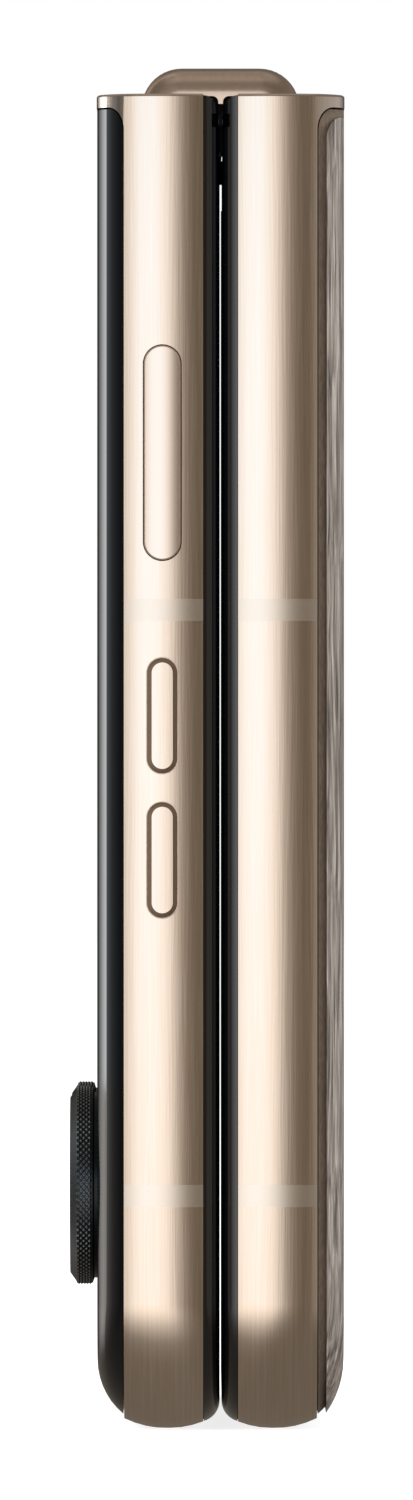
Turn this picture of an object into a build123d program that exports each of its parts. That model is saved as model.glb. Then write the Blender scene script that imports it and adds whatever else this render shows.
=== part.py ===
from build123d import *

import os
from math import atan2, cos, degrees, hypot, radians, sin, tan

# Millimetres. The phone stands folded shut on its free ends: X runs across it, Y through its
# thickness and Z up to the hinge. Both halves are drawn on the +Y side of the fold plane, and the
# upper half is mirrored to -Y. "Depth" is the distance from the fold plane, "inset" the distance
# in from the outermost edge seen square on, and "above" a height over the pivot axes.

# ---- Outline of a half ----
body_width = 71.9
corner_radius = 8.0
frame_end = 83.5

# ---- Layers of a half, as depths or thicknesses ----
bezel_face = 0.06
display_face = 0.36
display_thickness = 0.30
display_bond = 0.02
display_plate_thickness = 0.22
rail_front = 1.09
rail_depth = 4.95
cover_bond = 0.06
cover_thickness = 1.62
lip_stand = 0.03
mid_plate_thickness = 0.60

# ---- Side rails ----
rail_wall = 1.90
rail_crest = 2.36
rail_front_bulge = 0.42
rail_back_bulge = 0.62
band_height = 1.375
band_centres = (14.75, 51.3)
band_depth_in = 1.70

# ---- Covers ----
cover_inset = 0.90
cover_edge_run = 3.40
lip_thickness = 0.81
lip_gap = 0.12
end_round = 0.18
bend_depth = 1.03
bend_height = 1.40
tray_thickness = 0.50
tray_gap = 0.02
glass_web = 0.72
glass_pocket_inset = 4.80

# ---- Bezels ----
bezel_width = 2.70
bezel_inset = 0.45
bezel_round = 1.30
bezel_bond = 0.04
hinge_relief = 0.08
hinge_relief_drop = 4.30
pad_drop = (1.00, 2.55)
pad_reach = 0.10
pad_width = 0.9
edge_gap = 0.10

# ---- Pivots and spine ----
axis_drop = 1.10
pivot_offset = 1.125
fold_corner = 0.985
spine_half_width = 4.93
spine_rise = 2.755
spine_corner = 2.50
spine_wall = 0.50
spine_skirt = 0.50
spine_end_inset = 1.45
spine_end_wall = 1.00
spine_end_round = 1.60
trough_radius = 4.00
trough_wall = 0.50
trough_end_gap = 0.15
bar_foot_drop = 2.90
strip_half_width = 0.10
strip_drop = 0.95
strip_reach = 0.85
cap_depth = 0.90
fill_corner = 0.38
running_gap = 0.06

# ---- Hinge modules ----
module_inner = 5.0
module_outer = 22.0
block_half_width = 4.30
block_foot = 0.10
block_rise = 2.15
block_corner = 1.95
web = 0.60
room_gap = 0.10
gear_start = 12.2
gear_width = 1.60
gear_height = 1.00
gear_pitch = 0.90
gear_teeth = 11
gear_addendum = 0.11
gear_dedendum = 0.16
tooth_thickness = 0.215
pressure_angle = 20.0
turned_side_count = 10
shaft_radius = 0.27
shaft_gap = 0.03
hub_radius = 0.70
cam_width = 0.60
cam_lift = 0.35
cam_half = 0.25
follower_width = 1.30
spring_count = 3
spring_radius = 0.72
spring_sheet = 0.35
spring_pitch = 0.60
tongue_inner = 1.35
tongue_outer = 1.95
tongue_lead = 20.0
tongue_width = 2.40
tongue_pitch = 3.00
groove_gap = 0.06
bracket_face = 0.95
bracket_thickness = 0.55
bracket_foot_drop = 9.40
flange_width = 0.60
flange_reach = 2.90
arm_gap = 0.20
arm_thickness = 0.575
arm_pin_drop = 5.20
arm_pin_radius = 0.25
pin_slot_gap = 0.05
arm_root = 0.40
arm_knee_drop = 0.60
seat_depth = 2.60
screw_radius = 0.75
screw_gap = 0.03

# ---- Keys ----
key_line = 3.64
side_key_size = (2.31, 13.4)
side_key_centre = 61.1
volume_key_size = (1.88, 7.2)
volume_key_centres = (35.7, 44.7)
key_bevel = (0.28, 0.16)
key_bevel_foot = 0.10
key_gap = 0.06
key_seat_gap = 0.05
key_flange = 0.45
key_flange_thickness = 0.45
key_travel = 0.30
switch_height = 0.35
switch_strip = (0.20, 1.10)
switch_radius = 1.0

# ---- SIM tray ----
tray_size = (2.10, 15.6)
tray_centre = 62.0
tray_reach = 21.0
tray_sheet = 0.90
socket_wall = 0.25

# ---- Cameras ----
ring_radius = 6.17
ring_neck = 5.85
ring_stand = 1.73
ring_throat = 0.20
ring_chamfer = (0.66, 0.46)
ring_bore = 4.75
ring_seat = 0.10
camera_centres = (24.4, 8.9)
camera_height = 15.2
lens_recess = 0.55
lens_thickness = 0.60
camera_body = 9.6
flash_radius = 1.60
flash_side = 1.5
front_camera_height = 7.4
front_camera_radius = 1.6

# ---- Inner pieces and sockets ----
cavity_gap = 0.25
battery_side_gap = 6.95
battery_foot = 17.5
battery_drop = 19.0
battery_depth = 3.7
upper_battery_side_gap = 3.95
upper_battery_foot = 30.5
upper_battery_depth = 3.6
cell_round = 1.2
usb_opening = (8.40, 2.60)
usb_shell_depth = 7.4
usb_tongue = (6.69, 0.70)
usb_wall = 0.30
speaker_holes = 6
speaker_hole_radius = 0.55
speaker_hole_pitch = 1.8
speaker_start = 10.0
mic_hole_radius = 0.40
mic_offset = -12.0
board_thickness = 0.80
board_side_gap = 3.45
board_width = 22.5
board_foot = 24.0
board_head = 48.0
board_spacing = 2.0
link_width = 1.5
strip_side_gap = 4.95
link_drop = 11.5
link_height = 1.8
link_gap = 3.7
coil_size = (46.0, 40.0)
coil_band = 11.0
coil_corner = 6.0
coil_thickness = 0.16
can_places = (((5.5, 31.0), (9.0, 11.0)), ((15.5, 31.0), (9.0, 11.0)), ((10.5, 42.0), (19.0, 8.0)))
can_height = 1.2
can_sheet = 0.2

# ---- Derived levels ----
half_width = body_width / 2
spine_length = body_width - 2 * spine_end_inset
axis_z = frame_end - axis_drop
rail_back = rail_front + rail_depth
cover_seat = rail_back + cover_bond
cover_face = cover_seat + cover_thickness
lip_face = cover_face + lip_stand
lip_under = frame_end - lip_thickness
cover_top = lip_under - lip_gap
ring_front = cover_face + ring_stand
fold_shift = (ring_front - lip_face) / 2
bezel_back = rail_front - bezel_bond
display_back = display_face + display_thickness
display_plate_face = display_back + display_bond
mid_plate_back = rail_front + mid_plate_thickness
display_inset = bezel_width + edge_gap
fold_radius = bracket_face - running_gap
fold_centre = axis_z - block_foot - running_gap - fold_radius
trough_reach = spine_length / 2 + trough_end_gap
cavity_floor = mid_plate_back + cavity_gap
cavity_roof = rail_back - cavity_gap
board_level = cavity_floor + 0.6
board_x = board_side_gap - half_width
link_foot = frame_end - link_drop - link_height
outer_gear = 3 * gear_pitch
gear_z = axis_z + gear_height
gear_end = gear_start + gear_width
arm_face = bracket_face + arm_thickness
flange_start = gear_end + arm_gap
flange_end = flange_start + flange_width
tongue_start = flange_end + web
bracket_end = module_outer


# ---- Drawing helpers ----
def along_x(section, x_from, x_to):
    """Extrude a (y, z) section from one X to another."""
    return extrude(Plane.YZ.offset(x_from) * section, amount=x_to - x_from, dir=(1, 0, 0))


def along_y(plan, y_from, y_to):
    """Extrude an (x, z) plan from one depth to another."""
    return extrude(Plane.XZ.offset(-y_from) * plan, amount=y_to - y_from, dir=(0, 1, 0))


def rectangle(a_from, a_to, b_from, b_to):
    """Rectangle between two corners, in a sketch's own axes."""
    size = Rectangle(a_to - a_from, b_to - b_from)
    return Pos((a_from + a_to) / 2, (b_from + b_to) / 2) * size


def block(x_span, y_span, z_span):
    """Box between three pairs of limits."""
    return along_x(rectangle(*y_span, *z_span), *x_span)


def disc(a, b, radius):
    """Circle of a radius about a point."""
    return Pos(a, b) * Circle(radius)


def small_disc(a, b, radius):
    """Disc of a small turned piece, drawn with flats."""
    return Pos(a, b) * RegularPolygon(radius, turned_side_count)


def rod(y, z, radius, x_from, x_to):
    """Cylinder along X."""
    return along_x(disc(y, z, radius), x_from, x_to)


def bore_z(x, y, radius, z_from, z_to):
    """Cylinder along Z."""
    return extrude(Plane.XY.offset(z_from) * disc(x, y, radius), amount=z_to - z_from)


def turned(profile, x, z):
    """Revolve a (radius, depth) profile about the line along Y through a point."""
    return Pos(x, 0, z) * revolve(profile, Axis.Y)


def both_sides(part):
    """A part and its copy mirrored left to right."""
    return part + mirror(part, about=Plane.YZ)


def plan_outline(inset, top=frame_end):
    """Plan of a half, inset from its outermost edge and cut square at a height."""
    plan = rectangle(inset - half_width, half_width - inset, inset, top)
    return fillet(plan.vertices().group_by(Axis.Y)[0], corner_radius - inset)


def edge_band(profile, top=frame_end):
    """Carry an edge profile, drawn at X = 0 inwards, round the two sides and the free end."""
    corner_x = half_width - corner_radius
    corner_axis = Axis((corner_x, 0, corner_radius), (0, 1, 0))
    start = Plane.XY.offset(corner_radius) * Pos(half_width, 0) * profile
    side = extrude(start, amount=top - corner_radius, dir=(0, 0, 1))
    corner = revolve(start, corner_axis, 90)
    foot = extrude(start.rotate(corner_axis, 90), amount=corner_x, dir=(-1, 0, 0))
    return both_sides(side + corner + foot)


# ---- Frames ----
def rail_profile(wall=rail_wall, back=rail_back):
    """Convex outer face and flat inner wall of the side rail."""
    front_edge = (-rail_front_bulge, rail_front)
    back_edge = (-rail_back_bulge, back)
    outer = ThreePointArc(front_edge, (0, rail_front + rail_crest), back_edge)
    inner = Polyline(back_edge, (-wall, back), (-wall, rail_front), front_edge)
    return make_face(outer + inner)


def dome_profile(seat, face, inset, overlap=0.4):
    """Rounded edge from the seat up to the flat face of a cover, where it ends without a crease."""
    crown = -inset - cover_edge_run
    edge = TangentArc((crown, face), (-inset, seat), tangent=(1, 0))
    inner = Polyline((crown, face), (crown - overlap, face), (crown - overlap, seat), (-inset, seat))
    return make_face(edge + inner)


def domed_blank(seat, face, inset, top):
    """Cover with domed sides and free end, before its hinge end is shaped."""
    core = along_y(plan_outline(inset + cover_edge_run, top), seat, face)
    return core + edge_band(dome_profile(seat, face, inset), top)


def bend_section(margin, foot=-1.0):
    """Section that a cover fills: square outside, and bent inwards under the frame's lip."""
    seat = rail_back + margin
    top = lip_under - margin
    centre = (seat + bend_depth, top - bend_height)
    bend = EllipticalCenterArc(centre, bend_depth, bend_height, start_angle=90, arc_size=90)
    far = lip_face + 1
    rest = Polyline((seat, centre[1]), (seat, foot), (far, foot), (far, top), (centre[0], top))
    return make_face(bend + rest)


def hinge_bar():
    """Bar across the hinge end: trough wall, end wall and the lip over the cover."""
    centre = disc(pivot_offset, axis_z, trough_radius)
    wall = disc(pivot_offset, axis_z, trough_radius + trough_wall)
    wall &= rectangle(pivot_offset, rail_back, axis_z - 2 * trough_radius, axis_z)
    bar = rectangle(pivot_offset + trough_radius / 2, rail_back, axis_z - bar_foot_drop, frame_end)
    inside = along_x(wall + bar - centre, 0, half_width - rail_wall / 2)
    lip_section = rectangle(rail_back - lip_stand, lip_face, lip_under - bend_height, frame_end)
    lip = along_x(lip_section - bend_section(0), -half_width, half_width)
    lip &= domed_blank(rail_back - lip_stand, lip_face, rail_back_bulge, frame_end)
    return both_sides(inside) + lip


def module_zone(x_from, x_to, depth, foot_drop):
    """Room cut in a frame for one hinge module and its mirrored twin."""
    zone = block((x_from, x_to), (0, depth), (axis_z - foot_drop, frame_end + 1))
    return both_sides(zone)


def rounded_end(frame):
    """Round the outer edges of a frame's hinge end: both rails' and the lip's."""
    end_edges = frame.edges().filter_by(lambda edge: edge.bounding_box().min.Z > frame_end - running_gap)
    outline = end_edges.filter_by(GeomType.CIRCLE)
    outline += [edge for edge in end_edges if edge.length < lip_stand or edge.center().Y > cover_face]
    return fillet(set(outline), end_round)


def frame_body():
    """Rails, mid-plate, hinge bar and bracket seats in one machined piece."""
    body = edge_band(rail_profile()) + hinge_bar()
    body += along_y(plan_outline(rail_wall - 0.2), rail_front, mid_plate_back)
    seat_span = (tongue_start - web, bracket_end + web)
    seat_level = bracket_face + bracket_thickness + display_bond
    seat_foot = axis_z - bracket_foot_drop - web
    body += both_sides(block(seat_span, (rail_front, seat_depth), (seat_foot, axis_z - trough_radius)))
    body -= rod(pivot_offset, axis_z, trough_radius, -trough_reach, trough_reach)
    zone_start = gear_start - 2 * arm_gap
    body -= module_zone(zone_start, seat_span[1] - web / 2, seat_level, bracket_foot_drop + arm_gap)
    body -= module_zone(zone_start, flange_end + arm_gap, flange_reach + arm_gap, bracket_foot_drop)
    return rounded_end(body)


def band_cutters():
    """Slabs where the plastic breaks cross both rails."""
    cutters = []
    for centre in band_centres:
        limits = (centre - band_height / 2, centre + band_height / 2)
        depth = (rail_front - 1, rail_back + 1)
        cutters.append(block((half_width - band_depth_in, half_width + 1), depth, limits))
    return both_sides(Part() + cutters)


def key_outline(size, centre, margin=0.0):
    """Outline of a key with half-round ends on the rail's key line, as a (y, z) sketch."""
    width = size[0] + 2 * margin
    length = size[1] + 2 * margin
    return Pos(key_line, centre) * SlotOverall(length, width, rotation=90)


def rail_slot(size, centre, x_from, x_to):
    """Through slot in a rail for a key or tray, with its running gap."""
    return along_x(key_outline(size, centre, key_gap), x_from, x_to)


def free_end_ports():
    """Charging mouth, loudspeaker holes and microphone hole in the lower half's free end."""
    mouth = Plane.XY.offset(-1) * Pos(0, key_line) * SlotOverall(*usb_opening)
    cutter = extrude(mouth, amount=rail_wall + 2)
    for index in range(speaker_holes):
        x = speaker_start + index * speaker_hole_pitch
        cutter += bore_z(x, key_line, speaker_hole_radius, -1, rail_wall + 1)
    return cutter + bore_z(mic_offset, key_line, mic_hole_radius, -1, rail_wall + 1)


def lower_frame():
    """Frame of the half with the patterned cover."""
    return frame_body() - band_cutters() - free_end_ports()


def upper_frame():
    """Frame of the half with the keys, tray and cameras."""
    frame = frame_body() - band_cutters()
    outside = half_width + 1
    inside = half_width - rail_wall - 1
    frame -= rail_slot(side_key_size, side_key_centre, inside, outside)
    for centre in volume_key_centres:
        frame -= rail_slot(volume_key_size, centre, inside, outside)
    frame -= rail_slot(tray_size, tray_centre, -outside, -inside)
    frame -= bore_z(mic_offset, key_line, mic_hole_radius, -1, rail_wall + 1)
    frame -= along_y(disc(0, front_camera_height, front_camera_radius + edge_gap), 0, mid_plate_back + 1)
    return frame


def antenna_bands():
    """Plastic breaks that fill the slots in the rails."""
    return edge_band(rail_profile(band_depth_in)) & band_cutters()


# ---- Bezels, screen and covers ----
def bezel():
    """Raised rim round the screen, relieved and rounded at the hinge."""
    outer = -bezel_inset
    crown = outer - bezel_round
    rounding = TangentArc((crown, bezel_face), (outer, bezel_back), tangent=(1, 0))
    inner = Polyline((outer, bezel_back), (-bezel_width, bezel_back),
                     (-bezel_width, bezel_face), (crown, bezel_face))
    rim = edge_band(make_face(rounding + inner), axis_z + fold_corner)
    relief_top = axis_z + 2
    relief = rectangle(-1, bezel_face + hinge_relief, axis_z - hinge_relief_drop, relief_top)
    corner = rectangle(-1, pivot_offset, axis_z, relief_top) - disc(pivot_offset, axis_z, fold_corner)
    return rim - along_x(relief + corner, -half_width, half_width)


def bumpers():
    """Pads on the lower bezel that reach into the upper bezel's relief when shut."""
    inner_x = half_width - bezel_width + edge_gap
    pad_depth = (-pad_reach, bezel_face + 2 * hinge_relief)
    pad = block((inner_x, inner_x + pad_width), pad_depth, (axis_z - pad_drop[1], axis_z - pad_drop[0]))
    return both_sides(pad)


def screen_sheet():
    """Flexible screen's stretch on one half, up to where it starts to bend."""
    return along_y(plan_outline(display_inset, fold_centre - 1.2), display_face, display_back)


def display_plate():
    """Stiff sheet behind the screen."""
    plan = plan_outline(display_inset, axis_z - hinge_relief_drop)
    return along_y(plan, display_plate_face, display_plate_face + display_plate_thickness)


def display_fold():
    """Screen's stretch at the hinge, bent double below the spine."""
    outer = disc(0, fold_centre, fold_radius)
    inner = disc(0, fold_centre, fold_radius - display_thickness)
    ring = (outer - inner) & rectangle(-2, 2, fold_centre, axis_z)
    foot = fold_centre - 1.0
    outside = Polyline((display_face, foot), (display_back, foot), (fold_radius, fold_centre),
                       (fold_radius - display_thickness, fold_centre), (display_face, foot))
    leg = make_face(outside)
    section = ring + leg + mirror(leg, about=Plane.YZ)
    return along_x(section, display_inset - half_width, half_width - display_inset)


def camera_spots():
    """Plan centres of the two camera rings."""
    return [(x, camera_height) for x in camera_centres]


def flash_spot():
    """Plan centre of the flash, beside the farther ring."""
    return (camera_centres[1] - ring_radius - flash_side - flash_radius, camera_height)


def cover_glass():
    """Domed front glass, hollowed behind for the cover screen."""
    glass = domed_blank(cover_seat, cover_face, cover_inset, cover_top)
    glass &= along_x(bend_section(cover_bond), -half_width, half_width)
    pocket = plan_outline(glass_pocket_inset, cover_top - glass_pocket_inset)
    glass -= along_y(pocket, cover_seat - 1, cover_face - glass_web)
    for x, z in camera_spots():
        glass -= along_y(disc(x, z, ring_neck + ring_seat), cover_seat - 1, cover_face + 1)
    x, z = flash_spot()
    return glass - along_y(disc(x, z, flash_radius + ring_seat), cover_seat - 1, cover_face + 1)


def cover_display():
    """Cover screen bonded behind the front glass, with a cut-out round the cameras."""
    face = cover_face - glass_web - display_bond
    sheet = plan_outline(glass_pocket_inset + edge_gap, cover_top - glass_pocket_inset - edge_gap)
    cut = [disc(x, z, ring_radius + ring_seat) for x, z in camera_spots()]
    cut.append(disc(*flash_spot(), flash_radius + 2 * ring_seat))
    return along_y(sheet - (Sketch() + cut), face - display_thickness, face)


def back_panel_room():
    """Section that the patterned panel fills inside its tray."""
    return along_x(bend_section(cover_bond + tray_thickness + tray_gap), -half_width, half_width)


def back_cover():
    """Patterned back panel."""
    seat = cover_seat + tray_thickness + tray_gap
    inset = cover_inset + edge_gap / 2
    return domed_blank(seat, cover_face, inset, cover_top) & back_panel_room()


def back_cover_base():
    """Tray behind the back panel, which wraps round its hinge end."""
    tray = domed_blank(cover_seat, cover_face, cover_inset, cover_top)
    tray &= along_x(bend_section(cover_bond), -half_width, half_width)
    step = bend_section(cover_bond + tray_thickness)
    return tray - along_x(step, -half_width, half_width)


# ---- Spine ----
def spine_section(wall=0.0):
    """Rounded section of the spine cover, or of the hollow inside it."""
    reach = spine_half_width - wall
    section = rectangle(-reach, reach, axis_z - 1, axis_z + spine_rise - wall)
    return fillet(section.vertices().group_by(Axis.Y)[-1], spine_corner - wall)


def fold_notches(x_from, x_to):
    """Room for the bezels' rounded corners as they turn about the pivots."""
    notch = rod(pivot_offset, axis_z, fold_corner + running_gap, x_from, x_to)
    return notch + mirror(notch, about=Plane.XZ)


def corner_fills(x_from, x_to):
    """Slivers that square off the bezels' turning corners, seen from the end."""
    edge = bezel_face + hinge_relief
    corner = rectangle(edge, pivot_offset, axis_z, axis_z + fold_corner)
    turned_vertex = corner.vertices().group_by(Axis.Y)[-1].sort_by(Axis.X)[0]
    corner = fillet(turned_vertex, fill_corner) - disc(pivot_offset, axis_z, fold_corner + running_gap)
    return along_x(corner + mirror(corner, about=Plane.YZ), x_from, x_to)


def hinge_cover():
    """Rounded spine shell with closed ends."""
    reach = spine_length / 2
    shell = along_x(spine_section(), -reach, reach)
    for x_end in (-reach, reach):
        end_face = shell.faces().sort_by(Axis.X)[0 if x_end < 0 else -1]
        edges = end_face.edges().filter_by(lambda edge: edge.center().Z > axis_z)
        shell = fillet(edges, spine_end_round)
    inner = reach - spine_end_wall
    shell -= along_x(spine_section(spine_wall), -inner, inner)
    skirt = 2 * spine_half_width
    shell -= block((-reach, reach), (-skirt, skirt), (axis_z - skirt, axis_z + spine_skirt))
    shell -= both_sides(corner_fills(reach - cap_depth, reach))
    return shell - fold_notches(-reach, reach)


def hinge_end_caps():
    """Black strips and corners that close the slot between the bezels at both ends of the spine."""
    reach = spine_length / 2
    half = strip_half_width
    foot = axis_z - strip_drop
    fin_top = axis_z - 2 * running_gap
    fin = block((reach - cap_depth, reach + strip_reach), (-half, half), (foot, fin_top))
    stem = block((reach - cap_depth, reach), (-half, half), (foot, axis_z + spine_skirt))
    funnel = rectangle(-pivot_offset, pivot_offset, axis_z + spine_skirt / 2, axis_z + spine_skirt)
    head = along_x(funnel, reach - cap_depth, reach) - fold_notches(reach - 2, reach + 1)
    return both_sides(fin + stem + head + corner_fills(reach - cap_depth, reach))


# ---- Hinge modules, drawn on +X and mirrored for the left ----
def gear_section():
    """Toothed outline of a gear about its own centre."""
    root = gear_pitch - gear_dedendum
    tip = gear_pitch + gear_addendum
    slope = tan(radians(pressure_angle))
    root_half = tooth_thickness / 2 + gear_dedendum * slope
    tip_half = tooth_thickness / 2 - gear_addendum * slope
    tooth = Polygon((root / 2, -root_half), (root, -root_half), (tip, -tip_half),
                    (tip, tip_half), (root, root_half), (root / 2, root_half), align=None)
    pitch_angle = 360 / gear_teeth
    teeth = [Rot(0, 0, index * pitch_angle) * tooth for index in range(gear_teeth)]
    return Rot(0, 0, pitch_angle / 2) * RegularPolygon(root, gear_teeth) + teeth


def gear_outline(y):
    """Bored outline of one gear of the row; all four stand tooth to gap when none is turned."""
    return Pos(y, gear_z) * gear_section() - small_disc(y, gear_z, shaft_radius + shaft_gap)


def arm_link():
    """Flat link of the +Y arm, from the gear's centre down to the pin that pulls the half round."""
    middle = arm_face + arm_thickness / 2
    knee = axis_z - arm_knee_drop
    joints = small_disc(outer_gear, gear_z, arm_root) + small_disc(middle, knee, arm_thickness / 2)
    crank = make_hull(joints.edges())
    neck = rectangle(arm_face, arm_face + arm_thickness, axis_z - arm_pin_drop, knee)
    tip = small_disc(middle, axis_z - arm_pin_drop, arm_thickness / 2)
    return crank + neck + tip - small_disc(outer_gear, gear_z, shaft_radius + shaft_gap)


def hub_ring(side):
    """Section of an arm's hub round its shaft."""
    y = side * outer_gear
    return small_disc(y, gear_z, hub_radius) - small_disc(y, gear_z, shaft_radius + shaft_gap)


def cam_band(side):
    """Strip of the hub's section that the cam lobes fill, level with the shaft."""
    y = side * outer_gear
    return rectangle(y - hub_radius, y + hub_radius, gear_z - cam_half, gear_z + cam_half)


def sync_arm(side):
    """Gear, link, hub with its cam, and pin in one piece; side is 1 for the +Y arm, -1 for the other."""
    link = arm_link()
    if side < 0:
        link = mirror(link, about=Plane.YZ)
    hub_end = gear_start - web - cam_width
    arm = along_x(gear_outline(side * outer_gear) + link, gear_start, gear_end)
    arm += along_x(hub_ring(side), hub_end, gear_start)
    arm += along_x(hub_ring(side) & cam_band(side), hub_end - cam_lift, hub_end)
    middle = side * (arm_face + arm_thickness / 2)
    pin = small_disc(middle, axis_z - arm_pin_drop, arm_pin_radius)
    return arm + along_x(pin, gear_end, flange_end - pin_slot_gap)


def cam_follower():
    """Sliding collar of the +Y shaft, square so that it can't turn."""
    face = gear_start - web - cam_width - cam_lift
    collar = Pos(outer_gear, gear_z) * Rectangle(2 * hub_radius, 2 * hub_radius)
    collar -= small_disc(outer_gear, gear_z, shaft_radius + shaft_gap)
    return along_x(collar, face - follower_width, face - running_gap)


def disc_springs():
    """Stack of washers on the +Y shaft that press the collar against the cam."""
    ring = small_disc(outer_gear, gear_z, spring_radius)
    ring -= small_disc(outer_gear, gear_z, shaft_radius + shaft_gap)
    end = gear_start - web - cam_width - cam_lift - follower_width - running_gap
    stack = []
    for index in range(spring_count):
        x_end = end - index * spring_pitch
        stack.append(along_x(ring, x_end - spring_sheet, x_end))
    return Part() + stack


def gear_shafts():
    """Pins that the arms and idlers turn on; the arms' pins also carry the collars and washers."""
    shafts = []
    for y in (-outer_gear, -gear_pitch, gear_pitch, outer_gear):
        start = module_inner + web if abs(y) > gear_pitch else gear_start - arm_gap
        pin = small_disc(y, gear_z, shaft_radius)
        shafts.append(along_x(pin, start, gear_end + arm_gap))
    return Part() + shafts


def tongue_x(order):
    """X limits of a bracket's tongue; the two halves' tongues lie side by side."""
    start = tongue_start + order * tongue_pitch
    return (start, start + tongue_width)


def arc_ring(inner, outer, from_angle, to_angle):
    """Part of a ring about the +Y pivot, as a (y, z) sketch between two angles."""
    middle = (inner + outer) / 2
    arc = CenterArc((0, 0), middle, from_angle, to_angle - from_angle)
    ring = Circle(outer) - Circle(inner)
    far = 2 * outer
    points = [(0, 0)]
    steps = 6
    for step in range(steps + 1):
        angle = radians(from_angle + (to_angle - from_angle) * step / steps)
        points.append((far * cos(angle), far * sin(angle)))
    return Pos(pivot_offset, axis_z) * (ring & Polygon(*points, align=None))


def hinge_bracket(order):
    """Plate on a half: seat, curved tongue in the block's groove, and slotted flange for the arm."""
    x_tongue = tongue_x(order)
    back = bracket_face + bracket_thickness
    foot = axis_z - bracket_foot_drop
    head = axis_z - trough_radius - trough_wall
    plate = block((flange_start, bracket_end), (bracket_face, back), (foot, head))
    neck = block(x_tongue, (bracket_face, back), (head, axis_z - tongue_inner - 0.1))
    tongue = along_x(arc_ring(tongue_inner, tongue_outer, -90, tongue_lead), *x_tongue)
    flange = rectangle(bracket_face, flange_reach, foot + 0.6, head)
    arm_y = arm_face + arm_thickness / 2
    pivot_to_gear = (outer_gear - pivot_offset, gear_height)
    slot_centre = (arm_y - pivot_to_gear[0], axis_z - arm_pin_drop - pivot_to_gear[1])
    start_angle = degrees(atan2(gear_height, pivot_to_gear[0]))
    arc = CenterArc(slot_centre, hypot(*pivot_to_gear), start_angle - 90, 90)
    slot = SlotArc(arc, 2 * (arm_pin_radius + pin_slot_gap))
    flange_part = along_x(flange - slot, flange_start, flange_end)
    bracket = plate - block((flange_start - 1, flange_end), (0, back + 1), (foot, head + 1))
    bracket += neck + tongue + flange_part
    return bracket - screw(screw_gap)


def screw(margin=0.0):
    """The +X bracket's screw, or with a margin the hole for it."""
    x = (tongue_start + bracket_end) / 2
    z = axis_z - bracket_foot_drop + 1.6
    return along_y(disc(x, z, screw_radius + margin), bracket_face, bracket_face + bracket_thickness)


def hinge_block():
    """Housing in the spine: gear room, spring room, bores, and grooves for both halves' tongues."""
    section = rectangle(-block_half_width, block_half_width, axis_z - block_foot, axis_z + block_rise)
    section = fillet(section.vertices().group_by(Axis.Y)[-1], block_corner)
    body = along_x(section, module_inner, module_outer)
    room_reach = block_half_width - web / 2
    room_top = gear_z + gear_pitch + gear_addendum + running_gap
    gear_room = rectangle(-room_reach, room_reach, axis_z - 1, room_top)
    body -= along_x(gear_room, gear_start - arm_gap, gear_end + arm_gap)
    spring_reach = spring_radius + room_gap
    spring_room = rectangle(outer_gear - spring_reach, outer_gear + spring_reach,
                            axis_z - 1, gear_z + spring_reach)
    room = along_x(spring_room, module_inner + web, gear_start - web)
    body -= room + mirror(room, about=Plane.XZ)
    arm_exit = block((gear_start - arm_gap, gear_end + arm_gap), (gear_pitch, block_half_width + 1),
                     (axis_z - 1, gear_z))
    body -= arm_exit + mirror(arm_exit, about=Plane.XZ)
    for y in (-outer_gear, outer_gear):
        body -= along_x(small_disc(y, gear_z, hub_radius + running_gap), gear_start - web, gear_start)
    body -= groove(0) + mirror(groove(1), about=Plane.XZ)
    return body


def groove(order):
    """Curved track of a tongue, and the room its neck turns into."""
    start, end = tongue_x(order)
    ring = arc_ring(tongue_inner - groove_gap, tongue_outer + groove_gap, -8, 90 + tongue_lead + 8)
    neck_top = axis_z + bracket_face + bracket_thickness - pivot_offset + groove_gap
    neck_room = rectangle(pivot_offset + tongue_inner - 0.4, block_half_width + 1, axis_z - 1, neck_top)
    return along_x(ring + neck_room, start - groove_gap, end + groove_gap)


# ---- Keys, tray and their seats ----
def key(size, centre, bevelled=False):
    """Key cap flush with the rail, plain or bevelled, with a flange behind the rail's wall."""
    inner_face = half_width - rail_wall - key_seat_gap
    width, length = size
    if bevelled:
        run, height = key_bevel
        foot = half_width - key_bevel_foot - height
        cap = along_x(key_outline(size, centre), inner_face, foot)
        slope = degrees(atan2(run, height))
        outline = Plane.YZ.offset(foot) * key_outline(size, centre)
        cap += extrude(outline, amount=height, dir=(1, 0, 0), taper=slope)
        cap += along_x(key_outline(size, centre, -run), foot, half_width + 1)
    else:
        cap = along_x(key_outline(size, centre), inner_face, half_width + 1)
    cap &= edge_band(rail_profile(rail_wall + 0.6))
    flange = Pos(key_line, centre) * Rectangle(width + 2 * key_flange, length + 2 * key_flange)
    return cap + along_x(flange, inner_face - key_flange_thickness, inner_face)


def key_switches():
    """Flexible strip along the rail with one dome behind each key."""
    face = half_width - rail_wall - key_flange_thickness - key_travel - 2 * key_seat_gap
    low = volume_key_centres[0] - volume_key_size[1] / 2
    high = side_key_centre + side_key_size[1] / 2
    strip_x = (face - switch_height - switch_strip[0], face - switch_height)
    strip = block(strip_x, (key_line - switch_strip[1], key_line + switch_strip[1]), (low, high))
    for centre in (*volume_key_centres, side_key_centre):
        strip += rod(key_line, centre, switch_radius, face - switch_height, face)
    return strip


def tray_level():
    """Depth limits of the card sheet of the tray."""
    return (key_line - tray_sheet / 2, key_line + tray_sheet / 2)


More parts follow.
